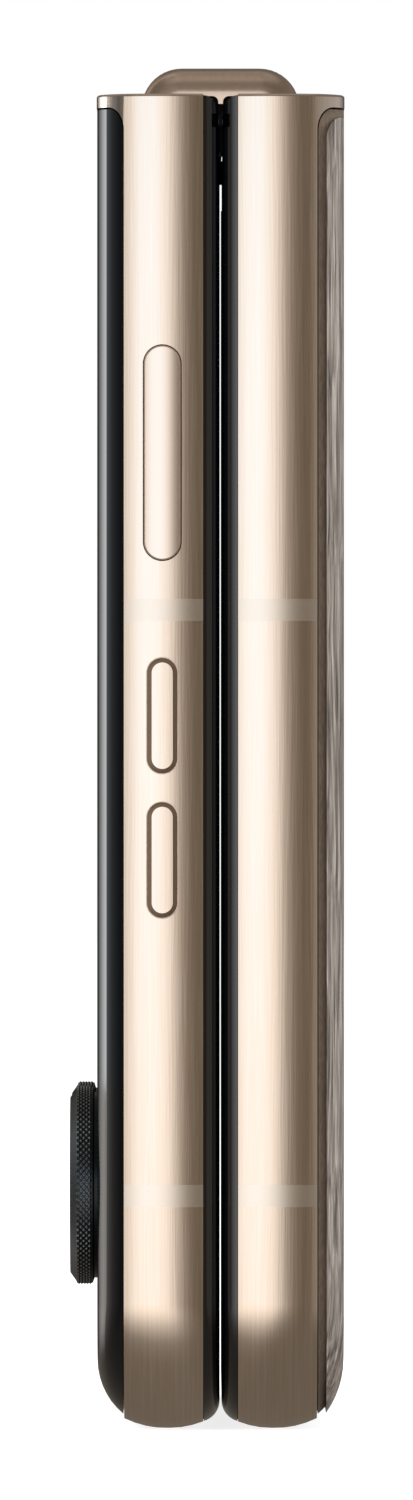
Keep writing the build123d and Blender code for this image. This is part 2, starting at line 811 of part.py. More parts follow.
def sim_tray():
    """Tray face flush with the rail, and the card frame behind it."""
    inner_face = half_width - rail_wall + 0.3
    face = along_x(key_outline(tray_size, tray_centre), -half_width - 1, -inner_face)
    face &= edge_band(rail_profile())
    face -= rod(key_line, tray_centre - tray_size[1] / 2 + 1.5, 0.4, -half_width - 1, -inner_face + 1)
    half_length = tray_size[1] / 2 - 1.6
    limits = (tray_centre - half_length, tray_centre + half_length)
    sheet = block((-inner_face, tray_reach - half_width), tray_level(), limits)
    card = block((-inner_face + 2.6, tray_reach - half_width - 1.2), (key_line - 1, key_line + 0.2),
                 (limits[0] + 1.6, limits[1] - 1.6))
    return face + sheet - card


def sim_socket():
    """Folded metal cage that the tray slides into."""
    low, high = tray_level()
    half_length = tray_size[1] / 2 - 1.6 + 0.15
    x_span = (-half_width + rail_wall + 0.1, tray_reach - half_width + 0.6)
    outside = block(x_span, (low - 0.1 - socket_wall, high + 0.1 + socket_wall),
                    (tray_centre - half_length - socket_wall, tray_centre + half_length + socket_wall))
    inside = block((x_span[0] - 1, x_span[1] - socket_wall), (low - 0.1, high + 0.1),
                   (tray_centre - half_length, tray_centre + half_length))
    return outside - inside


# ---- Cameras ----
def camera_ring(spot):
    """Metal ring round a camera: neck in the glass, broad body and chamfered front."""
    radial, axial = ring_chamfer
    inner = cover_face - glass_web
    heel = cover_face + ring_throat
    profile = Polygon((ring_neck, inner), (ring_neck, heel), (ring_radius, heel + ring_throat / 2),
                      (ring_radius, ring_front - axial), (ring_radius - radial, ring_front),
                      (ring_bore, ring_front), (ring_bore, inner), align=None)
    return turned(profile, *spot)


def camera_lens(spot):
    """Front window of a camera, set into the ring's bore."""
    face = ring_front - lens_recess
    return along_y(disc(*spot, ring_bore), face - lens_thickness, face)


def camera_module(spot):
    """Camera body with its barrel reaching into the ring."""
    half = camera_body / 2
    x, z = spot
    back = cover_face - glass_web - display_thickness - board_thickness
    body = along_y(rectangle(x - half, x + half, z - half, z + half), cavity_floor, back)
    return body + along_y(disc(x, z, half - board_thickness), back, cover_face)


def flash_lens():
    """Frosted window of the flash, flush with the glass."""
    return along_y(disc(*flash_spot(), flash_radius), cover_face - glass_web, cover_face)


# ---- Inner pieces ----
def cell(x_span, z_span, depth):
    """Pouch cell with rounded corners between plan limits."""
    plan = rectangle(*x_span, *z_span)
    return along_y(fillet(plan.vertices(), cell_round), cavity_floor, cavity_floor + depth)


def lower_battery():
    """Main cell in the lower half."""
    reach = half_width - battery_side_gap
    return cell((-reach, reach), (battery_foot, frame_end - battery_drop), battery_depth)


def upper_battery():
    """Second cell in the upper half, on the key side."""
    x_span = (board_x + board_width + board_spacing, half_width - upper_battery_side_gap)
    return cell(x_span, (upper_battery_foot, link_foot - link_gap), upper_battery_depth)


def sub_board():
    """Small board along the lower half's free end, notched for the socket and the speaker."""
    reach = half_width - strip_side_gap
    plan = rectangle(-reach, 7.0, 4.0, 16.0) + rectangle(-reach, reach, 13.5, 16.0)
    notch = usb_opening[0] / 2 + usb_wall + cavity_gap
    plan -= rectangle(-notch, notch, 0, rail_wall + usb_shell_depth + cavity_gap)
    return along_y(plan, cavity_floor, cavity_floor + board_thickness)


def usb_c_receptacle():
    """Oval shell with its centre tongue, open at the free end."""
    width, height = usb_opening
    start = rail_wall + key_seat_gap
    outline = SlotOverall(width + 2 * usb_wall, height + 2 * usb_wall)
    hollow = SlotOverall(width, height)
    place = Plane.XY.offset(start) * Pos(0, key_line)
    shell = extrude(place * outline, amount=usb_shell_depth)
    shell -= extrude(place * hollow, amount=usb_shell_depth - usb_wall)
    tongue = place * Rectangle(*usb_tongue)
    return shell + extrude(tongue, amount=usb_shell_depth)


def loudspeaker():
    """Sound box behind the grille holes."""
    plan = Pos(speaker_start + 8.5, 7.8) * Rectangle(20.0, 11.0)
    return along_y(plan, cavity_floor, cavity_roof)


def charging_coil():
    """Flat winding behind the back cover."""
    plan = Rectangle(*coil_size) - Rectangle(coil_size[0] - 2 * coil_band, coil_size[1] - 2 * coil_band)
    plan = fillet(plan.vertices(), coil_corner)
    return along_y(Pos(0, 42.0) * plan, cavity_roof, cavity_roof + coil_thickness)


def main_board():
    """Main board beside the upper battery, with the camera notch at its foot."""
    edge = board_x + board_width
    link_head = link_foot + link_height
    plan = rectangle(board_x, edge, board_foot, board_head)
    plan += rectangle(board_x, half_width - strip_side_gap, link_foot, link_head)
    plan += rectangle(edge - link_width, edge, board_foot, link_head)
    return along_y(plan, board_level, board_level + board_thickness)


def shield_cans():
    """Folded metal lids over the chips."""
    low = board_level + board_thickness
    cans = []
    for (x, z), (width, length) in can_places:
        place = Pos(board_x + x, z)
        lid = along_y(place * Rectangle(width, length), low, low + can_height)
        hollow = place * Rectangle(width - 2 * can_sheet, length - 2 * can_sheet)
        cans.append(lid - along_y(hollow, low, low + can_height - can_sheet))
    return Part() + cans


def earpiece():
    """Thin receiver behind the slot at the free end of the main screen."""
    plan = Pos(-14.0, 5.6) * Rectangle(12.0, 6.0)
    return along_y(plan, cavity_floor, cavity_floor + 2.4)


def front_camera():
    """Camera behind a small hole in the main screen."""
    lens_face = display_plate_face + display_thickness
    lens = along_y(disc(0, front_camera_height, front_camera_radius), lens_face, cavity_floor)
    body = along_y(Pos(0, front_camera_height) * Rectangle(5.0, 5.0), cavity_floor, cavity_floor + 2.6)
    return lens + body


def vibration_motor():
    """Flat linear motor by the charging socket."""
    plan = Pos(-24.0, 8.8) * Rectangle(9.0, 8.0)
    low = cavity_floor + board_thickness
    return along_y(plan, low, low + 2.6)


def upper_screen():
    """Upper stretch of the screen, pierced for the front camera."""
    hole = along_y(disc(0, front_camera_height, front_camera_radius + edge_gap), 0, rail_front)
    return screen_sheet() - hole


def upper_display_plate():
    """Upper stiff sheet, pierced for the front camera."""
    hole = along_y(disc(0, front_camera_height, front_camera_radius + edge_gap), 0, rail_front)
    return display_plate() - hole


# ---- Assembly ----
def lower_half_parts():
    """Nodes on the +Y half."""
    return {
        "lower_frame": lower_frame(),
        "lower_antenna_bands": antenna_bands(),
        "lower_bezel": bezel() + bumpers(),
        "screen_lower": screen_sheet(),
        "lower_display_plate": display_plate(),
        "lower_hinge_brackets": both_sides(hinge_bracket(0)),
        "lower_screws": both_sides(screw()),
        "back_cover": back_cover(),
        "back_cover_base": back_cover_base(),
        "lower_battery": lower_battery(),
        "sub_board": sub_board(),
        "usb_c_receptacle": usb_c_receptacle(),
        "loudspeaker": loudspeaker(),
        "charging_coil": charging_coil(),
        "vibration_motor": vibration_motor(),
    }


def upper_half_parts():
    """Nodes on the other half, drawn on +Y and mirrored later."""
    near, far = camera_spots()
    low_key, high_key = volume_key_centres
    return {
        "upper_frame": upper_frame(),
        "upper_antenna_bands": antenna_bands(),
        "upper_bezel": bezel(),
        "screen_upper": upper_screen(),
        "upper_display_plate": upper_display_plate(),
        "upper_hinge_brackets": both_sides(hinge_bracket(1)),
        "upper_screws": both_sides(screw()),
        "cover_glass": cover_glass(),
        "cover_display": cover_display(),
        "camera_ring_near": camera_ring(near),
        "camera_ring_far": camera_ring(far),
        "camera_lens_near": camera_lens(near),
        "camera_lens_far": camera_lens(far),
        "camera_module_near": camera_module(near),
        "camera_module_far": camera_module(far),
        "flash_lens": flash_lens(),
        "side_key": key(side_key_size, side_key_centre),
        "volume_up_key": key(volume_key_size, low_key, bevelled=True),
        "volume_down_key": key(volume_key_size, high_key, bevelled=True),
        "key_switches": key_switches(),
        "sim_tray": sim_tray(),
        "sim_socket": sim_socket(),
        "upper_battery": upper_battery(),
        "main_board": main_board(),
        "shield_cans": shield_cans(),
        "earpiece": earpiece(),
        "front_camera": front_camera(),
    }


def spine_parts():
    """Nodes between the halves: the spine and the geared arms."""
    sprung = cam_follower()
    springs = disc_springs()
    both_springs = springs + mirror(springs, about=Plane.XZ)
    both_followers = sprung + mirror(sprung, about=Plane.XZ)
    parts = {
        "hinge_cover": hinge_cover(),
        "hinge_end_caps": hinge_end_caps(),
        "display_fold": display_fold(),
        "gear_shafts": both_sides(gear_shafts()),
        "cam_followers": both_sides(both_followers),
        "disc_springs": both_sides(both_springs),
    }
    block_right = hinge_block()
    places = {"right": lambda part: part, "left": lambda part: mirror(part, about=Plane.YZ)}
    for side, place in places.items():
        parts["hinge_block_" + side] = place(block_right)
        for half, sign in (("lower_", 1), ("upper_", -1)):
            idler = along_x(gear_outline(sign * gear_pitch), gear_start, gear_end)
            parts["sync_arm_" + half + side] = place(sync_arm(sign))
            parts["idler_gear_" + half + side] = place(idler)
    return parts


def write_parts():
    """Place every node in the phone's frame and write it."""
    os.makedirs("parts", exist_ok=True)
    nodes = dict(lower_half_parts())
    nodes.update(spine_parts())
    for name, part in upper_half_parts().items():
        nodes[name] = mirror(part, about=Plane.XZ)
    for name, part in nodes.items():
        placed = Pos(0, fold_shift, 0) * part
        placed.label = name
        export_step(placed, "parts/" + name + ".step")


write_parts()
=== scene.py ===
"""Folding clamshell phone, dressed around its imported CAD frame.

Metres throughout, unless a name ends in _mm. The phone stands folded on its free ends: X runs across
it, Y through its thickness (the upper half on the -Y side of the fold plane) and Z up to the hinge.
"""

import logging
import math
from dataclasses import dataclass, replace
from enum import Enum
from typing import Callable, Iterable, Optional

import bmesh
import bpy
from bpy.types import Material, Mesh, Node, NodeSocket, NodeTree, Object
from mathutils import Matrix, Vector

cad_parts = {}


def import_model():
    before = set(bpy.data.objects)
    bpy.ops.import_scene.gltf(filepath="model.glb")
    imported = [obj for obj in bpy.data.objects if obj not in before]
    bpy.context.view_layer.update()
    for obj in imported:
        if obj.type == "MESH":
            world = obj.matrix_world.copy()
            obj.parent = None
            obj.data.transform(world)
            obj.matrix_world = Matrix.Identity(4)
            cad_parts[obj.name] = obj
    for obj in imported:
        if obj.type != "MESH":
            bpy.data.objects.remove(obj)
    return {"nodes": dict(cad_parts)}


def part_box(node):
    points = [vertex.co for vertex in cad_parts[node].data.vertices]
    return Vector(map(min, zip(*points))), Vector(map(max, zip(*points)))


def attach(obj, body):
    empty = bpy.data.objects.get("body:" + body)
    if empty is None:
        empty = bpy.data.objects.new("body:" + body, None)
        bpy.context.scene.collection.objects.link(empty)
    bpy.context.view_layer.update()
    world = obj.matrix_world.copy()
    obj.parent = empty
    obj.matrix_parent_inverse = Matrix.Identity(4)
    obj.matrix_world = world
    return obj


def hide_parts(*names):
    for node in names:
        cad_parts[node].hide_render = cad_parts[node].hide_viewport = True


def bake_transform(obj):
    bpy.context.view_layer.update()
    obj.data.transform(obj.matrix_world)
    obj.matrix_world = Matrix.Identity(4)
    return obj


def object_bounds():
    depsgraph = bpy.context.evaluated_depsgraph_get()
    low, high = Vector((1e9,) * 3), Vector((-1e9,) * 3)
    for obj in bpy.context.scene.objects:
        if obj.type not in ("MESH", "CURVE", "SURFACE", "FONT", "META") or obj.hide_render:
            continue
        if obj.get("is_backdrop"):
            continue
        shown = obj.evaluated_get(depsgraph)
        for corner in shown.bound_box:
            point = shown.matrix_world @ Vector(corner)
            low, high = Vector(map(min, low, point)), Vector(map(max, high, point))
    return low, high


Pair = tuple[float, float]
Triple = tuple[float, float, float]
Colour = tuple[float, float, float, float]
Faces = list[tuple[int, ...]]
NormalField = Callable[[Vector], Optional[Vector]]

LOG = logging.getLogger("flip_phone")
MM = 0.001
PATH = "path"

IMAGE_WIDTH, IMAGE_HEIGHT = 413, 1500
PIXELS_PER_MM = 16.0
FOLD_PIXEL = 220.6
GROUND_PIXEL = 1431.0

# Tint of the surround's red, green and blue: a neutral share, and what each unit of warmth takes off.
TINT = ((1.0, 0.0), (0.985, 0.135), (0.96, 0.28))
WHITE = (1.0, 1.0, 1.0, 1.0)


class Half(Enum):
    """The two halves of the phone, with the side of the fold plane that each lies on."""

    LOWER = 1
    UPPER = -1

    @property
    def body(self) -> str:
        """CAD body that the half's pieces ride on."""
        return f"{self.word}_half"

    @property
    def word(self) -> str:
        """Word that node names use for the half."""
        return self.name.lower()


# ---- Colour and node helpers ----
def linear(code: str) -> Colour:
    """Turn an sRGB hex colour into the linear RGBA that shaders take.

    Args:
        code: Colour as "#rrggbb".

    Returns:
        Linear red, green and blue, and an alpha of 1.
    """
    parts = [int(code[i:i + 2], 16) / 255 for i in (1, 3, 5)]
    return (*(c / 12.92 if c <= 0.04045 else ((c + 0.055) / 1.055) ** 2.4 for c in parts), 1.0)


def add_node(tree: NodeTree, kind: str, inputs: Optional[dict] = None, **settings: object) -> Node:
    """Add one node with its settings, its constant inputs and its links.

    Args:
        tree: Node tree that gets the node.
        kind: Blender's type name of the node.
        inputs: Constants, output sockets or nodes (for their first output), by input name or index.
        **settings: Properties of the node itself.

    Returns:
        The new node.
    """
    node = tree.nodes.new(kind)
    for name, value in settings.items():
        setattr(node, name, value)
    for key, value in (inputs or {}).items():
        if isinstance(value, Node):
            value = value.outputs[0]
        if isinstance(value, NodeSocket):
            tree.links.new(value, node.inputs[key])
        else:
            node.inputs[key].default_value = value
    return node


def set_ramp(node: Node, stops: Iterable[tuple[float, Colour]]) -> None:
    """Fill a colour ramp.

    Args:
        node: Colour ramp node.
        stops: Each stop's place, from 0 to 1, and its linear RGBA.
    """
    ramp = node.color_ramp
    stops = list(stops)
    while len(ramp.elements) < len(stops):
        ramp.elements.new(1.0)
    for element, (place, colour) in zip(ramp.elements, stops):
        element.position = place
        element.color = colour


def empty_material(name: str) -> Material:
    """Make a material with an empty node tree.

    Args:
        name: Material's name.

    Returns:
        The material.
    """
    material = bpy.data.materials.new(name)
    material.use_nodes = True
    material.node_tree.nodes.clear()
    return material


# ---- Mesh helpers ----
def add_object(name: str, data: bpy.types.ID) -> Object:
    """Link a new object to the scene.

    Args:
        name: Object's name.
        data: Its mesh, lamp or camera.

    Returns:
        The object.
    """
    made = bpy.data.objects.new(name, data)
    bpy.context.scene.collection.objects.link(made)
    return made


def add_piece(name: str, points: list, faces: Faces, material: Material) -> Object:
    """Link a new mesh of one material to the scene.

    Args:
        name: Piece's name.
        points: Corner points.
        faces: Faces, as point numbers.
        material: Material of the whole piece.

    Returns:
        The piece.
    """
    mesh = bpy.data.meshes.new(name)
    mesh.from_pydata(points, [], faces)
    mesh.materials.append(material)
    return add_object(name, mesh)


def band_faces(rows: int, columns: int, ring: bool = False, open_rows: bool = False) -> Faces:
    """List the quads between neighbouring rows of points.

    Args:
        rows: Number of rows.
        columns: Points in a row.
        ring: Whether the last row joins the first.
        open_rows: Whether a row's last point stays apart from its first.

    Returns:
        Faces, as point numbers.
    """
    faces = []
    for row in range(rows if ring else rows - 1):
        here, there = row * columns, (row + 1) % rows * columns
        for i in range(columns - open_rows):
            j = (i + 1) % columns
            faces.append((here + i, here + j, there + j, there + i))
    return faces


def smooth(mesh: Mesh, crease: Optional[float] = None) -> None:
    """Shade a mesh smoothly.

    Args:
        mesh: The mesh.
        crease: Angle in degrees from which an edge stays sharp, if any does.
    """
    mesh.polygons.foreach_set("use_smooth", [True] * len(mesh.polygons))
    if crease is not None:
        mesh.set_sharp_from_angle(angle=math.radians(crease))


def even(size: float) -> Triple:
    """The same size each way."""
    return (size, size, size)


def heading(bearing: float, rise: float) -> Vector:
    """Unit vector at a bearing from +X and a rise from the ground, in radians."""
    return Vector((math.cos(bearing) * math.cos(rise), math.sin(bearing) * math.cos(rise), math.sin(rise)))


def level_square(reach: float, height: float) -> list[Triple]:
    """Corners of a level square about the Z axis."""
    return [(x * reach, y * reach, height) for x, y in ((-1, -1), (1, -1), (1, 1), (-1, 1))]


def round_face(node: str) -> tuple[Vector, float]:
    """Find the -Y face of a round CAD node.

    Args:
        node: The node's name.

    Returns:
        The face's middle and its radius.
    """
    low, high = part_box(node)
    return Vector(((low.x + high.x) / 2, low.y, (low.z + high.z) / 2)), (high.x - low.x) / 2


# ---- Finishes ----
@dataclass(frozen=True)
class Finish:
    """A surface finish: noise-driven colour, roughness and relief on one shader.

    Lengths are millimetres. A grain is the noise's cell size along X, Y and Z, or, on a piece with a
    path attribute, along the rail, through its depth and in from its edge. Each colour has its place
    between the noise's 0 and 1.
    """

    name: str
    colours: tuple[str, ...]
    grain_mm: Triple
    roughness: Pair
    relief_mm: float
    metallic: float = 0.0
    ior: float = 1.5
    coat: float = 0.0
    coat_roughness: float = 0.03
    detail: float = 3.0
    fineness: float = 0.55
    along_path: bool = False
    places: tuple[float, ...] = (0.3, 0.7)

    def place(self, tree: NodeTree) -> NodeSocket:
        """Coordinates that the noise reads."""
        if self.along_path:
            return add_node(tree, "ShaderNodeAttribute", attribute_name=PATH).outputs["Vector"]
        return add_node(tree, "ShaderNodeTexCoord").outputs["Object"]

    def material(self) -> Material:
        """Build the finish once and return it afterwards.

        Returns:
            The Blender material.
        """
        made = bpy.data.materials.get(self.name)
        if made:
            return made
        made = empty_material(self.name)
        tree = made.node_tree
        scale = tuple(1 / (g * MM) for g in self.grain_mm)
        mapped = add_node(tree, "ShaderNodeMapping", {"Vector": self.place(tree), "Scale": scale})
        noise = add_node(tree, "ShaderNodeTexNoise", {
            "Vector": mapped, "Scale": 1.0, "Detail": self.detail, "Roughness": self.fineness})
        ramp = add_node(tree, "ShaderNodeValToRGB", {"Fac": noise})
        set_ramp(ramp, zip(self.places, map(linear, self.colours)))
        low, high = self.roughness
        look = {"Base Color": ramp, "Roughness": low, "Metallic": self.metallic,
                "Coat Weight": self.coat, "Coat Roughness": self.coat_roughness}
        if low < high:
            look["Roughness"] = add_node(tree, "ShaderNodeMapRange", {
                "Value": noise, "From Min": 0.3, "From Max": 0.7, "To Min": low, "To Max": high})
        if self.relief_mm:
            look["Normal"] = add_node(tree, "ShaderNodeBump", {
                "Height": noise, "Strength": 1.0, "Distance": self.relief_mm * MM})
        if self.metallic < 1:
            look["IOR"] = self.ior
        shader = add_node(tree, "ShaderNodeBsdfPrincipled", look)
        add_node(tree, "ShaderNodeOutputMaterial", {"Surface": shader})
        return made


@dataclass(frozen=True)
class SwirledFinish(Finish):
    """Finish whose grain is pushed about by a slow swirl, as in timber."""

    swirl_mm: float = 9.0
    swirl_reach_mm: float = 1.2

    def place(self, tree: NodeTree) -> NodeSocket:
        """Move the coordinates that the noise reads by a coarser noise.

        Args:
            tree: Material's node tree.

        Returns:
            The moved coordinates.
        """
        place = super().place(tree)
        bend = add_node(tree, "ShaderNodeTexNoise", {
            "Vector": place, "Scale": 1 / (self.swirl_mm * MM), "Detail": 1.0})
        shift = add_node(tree, "ShaderNodeVectorMath", {
            0: bend.outputs["Color"], "Scale": self.swirl_reach_mm * MM}, operation="SCALE")
        return add_node(tree, "ShaderNodeVectorMath", {0: place, 1: shift}, operation="ADD").outputs[0]


# Anodised aluminium, brushed along the rail: fine streaks show where light turns to shade. The streaks
# are drawn coarser than real brushing, so that they show.
BRUSHED_RAIL = Finish(
    "champagne_anodised_aluminium_brushed", ("#e3d0bf", "#e8d6c6", "#eedfd1"), (6.5, 0.15, 0.15),
    (0.15, 0.21), 0.0050, metallic=1.0, detail=4.0, along_path=True, places=(0.25, 0.5, 0.75))
# The same anodising, bead blasted before it: an even soft sheen with no streaks.
SATIN_KEY = Finish(
    "champagne_anodised_aluminium_satin", ("#ead9ca", "#f0e0d2"), even(0.05), (0.20, 0.26), 0.0003,
    metallic=1.0)
# Painted shade on the keys' bevel: an even dark brown without metal stands in for the bevel's shade, as one
# dark line round each key.
KEY_BEVEL_PAINTED_SHADE = Finish(
    "brown_lacquer_on_cut_aluminium", ("#64513f", "#735f4e"), even(0.10), (0.40, 0.50), 0.0004)
# Painted shade on a narrower chamfer round the side key: a paler brown than the other keys' bevels gives a
# fine, softer dark line.
FINE_CHAMFER_PAINTED_SHADE = Finish(
    "pale_brown_lacquer_on_cut_aluminium", ("#a08a77", "#ab9583"), even(0.10), (0.40, 0.50), 0.0004)
# Darker anodising on the spine, lightly polished so its bend carries one long highlight.
POLISHED_SPINE = Finish(
    "bronze_anodised_aluminium", ("#dcc6b4", "#e2cdbb"), (9.0, 0.30, 0.30), (0.20, 0.24), 0.0002,
    metallic=1.0)
# Glass-filled polyamide, moulded into the antenna slots and painted to match: matt and even.
ANTENNA_POLYMER = Finish(
    "champagne_polyamide_metallic_paint", ("#f0e2d4", "#f5e9dd"), even(0.08), (0.28, 0.33), 0.0006,
    metallic=1.0)
# Thermoplastic polyurethane rim, moulded smooth: satin black with a faint orange peel.
RIM_RUBBER = Finish(
    "black_polyurethane_moulded", ("#020203", "#040405"), even(0.35), (0.12, 0.18), 0.0006, ior=1.56,
    coat=0.8, coat_roughness=0.06)
# Closed-cell polyurethane foam strip, die cut: dead black, with no shine.
FOAM_SEAL = Finish(
    "black_closed_cell_foam", ("#020203", "#060607"), even(0.15), (0.75, 0.85), 0.004, ior=1.2)
# Folding screen under its hard-coated film, switched off: near black, mirror-like, faintly uneven.
SCREEN_FILM = Finish(
    "hard_coated_film_over_dark_screen", ("#060607", "#08080a"), (14.0, 14.0, 9.0), (0.05, 0.09), 0.003,
    ior=1.49)
# Toughened glass with black ink behind it: deep black under a clear polished face.
INKED_GLASS = Finish(
    "black_backed_aluminosilicate_glass", ("#040405", "#060607"), even(25.0), (0.02, 0.05), 0.0, ior=1.51)
# Cover screen behind the glass, switched off: a shade lighter than the ink around it.
COVER_SCREEN = Finish("dark_cover_screen", ("#08080a", "#0b0b0e"), even(20.0), (0.06, 0.10), 0.0)
# Printed film under satin glass: taupe with long silky streaks, like brushed timber.
GRAINED_PANEL = SwirledFinish(
    "taupe_grained_film_under_satin_glass", ("#3c342d", "#72675e", "#998e85", "#c8bfb7"),
    (0.30, 0.30, 8.0), (0.34, 0.34), 0.003, coat=0.3, coat_roughness=0.12, detail=5.0, fineness=0.65,
    places=(0.34, 0.44, 0.54, 0.66))
# Glass-fibre tray, moulded: dark brown, slightly grainy satin.
TRAY_RESIN = Finish(
    "brown_filled_resin_moulded", ("#64564a", "#7a6a5a"), (0.16, 0.16, 0.5), (0.38, 0.50), 0.003)
# Hard-anodised aluminium camera ring, turned and dyed black: crisp edges, low sheen.
BLACK_RING = Finish(
    "black_anodised_aluminium_turned", ("#26292b", "#303437"), even(0.10), (0.24, 0.34), 0.0005,
    metallic=1.0)
# The same ring's grip, knurled into diamonds: every facet catches a small light of its own, and a pale grey
# in place of the ring's black makes these glints brighter, as painted glints.
KNURL_PAINTED_GLINTS = Finish(
    "black_anodised_aluminium_knurled", ("#8a9096", "#a3a9ae"), even(0.10), (0.22, 0.30), 0.0005,
    metallic=1.0)
# Coated crown glass over a dark barrel: black with a clear hard reflection.
LENS_GLASS = Finish(
    "coated_lens_glass", ("#040406", "#07080c"), even(5.0), (0.01, 0.03), 0.0, ior=1.6, coat=1.0)
# Stepped lens barrel, turned and blackened: dark rings that each catch a thin arc of light.
BARREL_STEPS = Finish(
    "blackened_brass_barrel_steps", ("#1a1b1d", "#25272a"), even(0.06), (0.22, 0.32), 0.0004, metallic=1.0)
# Front element with its anti-reflection coating: deep violet-blue with a glassy spark.
COATED_ELEMENT = Finish(
    "magnesium_fluoride_coated_glass", ("#0b0f2a", "#1a1440"), even(1.2), (0.01, 0.03), 0.0, ior=1.7,
    coat=1.0)
# Acrylic flash window, moulded with a frost: pale cream and cloudy.
FROSTED_WINDOW = Finish("frosted_acrylic", ("#d9d2bd", "#eae4d2"), even(0.5), (0.30, 0.45), 0.004, ior=1.49)
# Metal-injected steel hinge parts, machined: mid grey with fine tool lines across them.
MACHINED_STEEL = Finish(
    "stainless_steel_machined", ("#8f9194", "#b0b2b5"), (2.0, 0.06, 0.06), (0.25, 0.40), 0.0012,
    metallic=1.0)
# Rolled stainless sheet: cold-rolling lines along its length.
ROLLED_SHEET = Finish(
    "stainless_sheet_rolled", ("#9a9ca0", "#b4b6ba"), (0.10, 0.10, 8.0), (0.22, 0.34), 0.001, metallic=1.0)
# Liquid-crystal polymer housings, moulded: charcoal, finely textured.
BLACK_HOUSING = Finish(
    "black_liquid_crystal_polymer", ("#141516", "#1c1d1f"), even(0.12), (0.45, 0.60), 0.003)
# Circuit board under solder mask: deep green with the weave of its glass cloth showing through.
SOLDER_MASK = Finish(
    "glass_epoxy_with_solder_mask", ("#0b3a22", "#0f4a2b", "#135634"), even(0.6), (0.28, 0.40), 0.006,
    places=(0.3, 0.5, 0.7))
# Tin-plated steel shield, drawn: bright grey with soft spangles.
TINNED_LID = Finish(
    "tin_plated_steel_drawn", ("#c3c5c7", "#d8dadb"), even(0.8), (0.18, 0.30), 0.002, metallic=1.0)
# Aluminium-laminate pouch cell: dark grey foil with shallow wrinkles.
FOIL_POUCH = Finish(
    "aluminium_laminate_pouch", ("#2b2d30", "#3a3d41"), even(3.0), (0.30, 0.45), 0.03, metallic=1.0)
# Enamelled copper winding: orange-brown with one line for each turn of wire.
COPPER_WINDING = Finish(
    "enamelled_copper_wire", ("#8e4f24", "#b9703a"), (4.0, 0.2, 0.25), (0.25, 0.38), 0.01, metallic=1.0)


def closed_piece(name: str, points: list, faces: Faces, finish: Finish) -> Object:
    """Make a closed piece with its faces turned outwards.

    Args:
        name: Piece's name.
        points: Corner points.
        faces: Faces, as point numbers.
        finish: Finish of the whole piece.

    Returns:
        The piece.
    """
    piece = add_piece(name, points, faces, finish.material())
    working = bmesh.new()
    working.from_mesh(piece.data)
    bmesh.ops.recalc_face_normals(working, faces=working.faces)
    working.to_mesh(piece.data)
    working.free()
    return piece


def settle(piece: Object, body: str, finish: Finish) -> None:
    """Tie a piece to what carries it, and report it.

    Args:
        piece: The piece.
        body: Body that it rides on.
        finish: Its finish, for the report.
    """
    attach(piece, body)
    LOG.info("%s on %s: %s", piece.name, body, finish.name)


# ---- Geometry of the halves, for normals that the CAD facets only approach ----
@dataclass(frozen=True)
class Outline:
    """Plan outline of a half: straight sides, round lower corners and a straight free end."""

    half_width: float = 35.95 * MM
    corner: float = 8.0 * MM
    fold_y: float = 0.0

    def locate(self, point: Vector) -> tuple[Vector, float, float]:
        """Say where a point lies round the outline.

        Args:
            point: Place in the phone's frame.

        Returns:
            The outward direction in plan, the inset from the outline, and the distance along it
            from the middle of the free end.
        """
        side = 1.0 if point.x >= 0 else -1.0
        x, z = abs(point.x), point.z
        straight = self.half_width - self.corner
        bend = self.corner * math.pi / 2
        if x <= straight and z < self.corner:
            return Vector((0, 0, -1)), z, side * x
        if z >= self.corner:
            return Vector((side, 0, 0)), self.half_width - x, side * (straight + bend + z - self.corner)
        out = Vector((x - straight, 0, z - self.corner))
        turn = math.atan2(out.x, -out.z)
        direction = Vector((side * math.sin(turn), 0, -math.cos(turn)))
        return direction, self.corner - out.length, side * (straight + self.corner * turn)

    def walk(self, inset: float, top: float, steps: int = 16) -> list[Pair]:
        """Go down one side, along the free end and up the other side.

        Args:
            inset: Distance in from the outline.
            top: Height where the walk starts and ends.
            steps: Steps round each corner.

        Returns:
            The places passed, as (x, z).
        """
        middle, radius = self.half_width - self.corner, self.corner - inset
        line = [(inset - self.half_width, top)]
        for side, first in ((-1, math.pi), (1, 1.5 * math.pi)):
            for step in range(steps + 1):
                turn = first + math.pi / 2 * step / steps
                line.append((side * middle + radius * math.cos(turn), self.corner + radius * math.sin(turn)))
        return line + [(self.half_width - inset, top)]

    def depth(self, point: Vector) -> float:
        """Distance from the fold plane."""
        return abs(point.y - self.fold_y)


@dataclass(frozen=True)
class SweptArc:
    """Round edge carried round a half's outline: an arc's centre, as inset and depth, and its radius."""

    outline: Outline
    inset: float
    depth: float
    radius: float
    tolerance: float = 0.03 * MM
    bulge: float = 1.0

    def miss(self, point: Vector) -> float:
        """Distance of a point from the arc."""
        _, inset, _ = self.outline.locate(point)
        return abs(math.hypot(self.inset - inset, self.outline.depth(point) - self.depth) - self.radius)

    def normal(self, point: Vector) -> Vector:
        """Work out the direction of the arc's normal.

        Args:
            point: Place that the normal passes through.

        Returns:
            The outward normal.
        """
        outward, inset, _ = self.outline.locate(point)
        side = 1.0 if point.y > self.outline.fold_y else -1.0
        deep = (self.outline.depth(point) - self.depth) * self.bulge
        return (outward * (self.inset - inset) + Vector((0, side * deep, 0))).normalized()

    def __call__(self, point: Vector) -> Optional[Vector]:
        """Exact outward normal at a point on the arc, or None off it."""
        return self.normal(point) if self.miss(point) <= self.tolerance else None


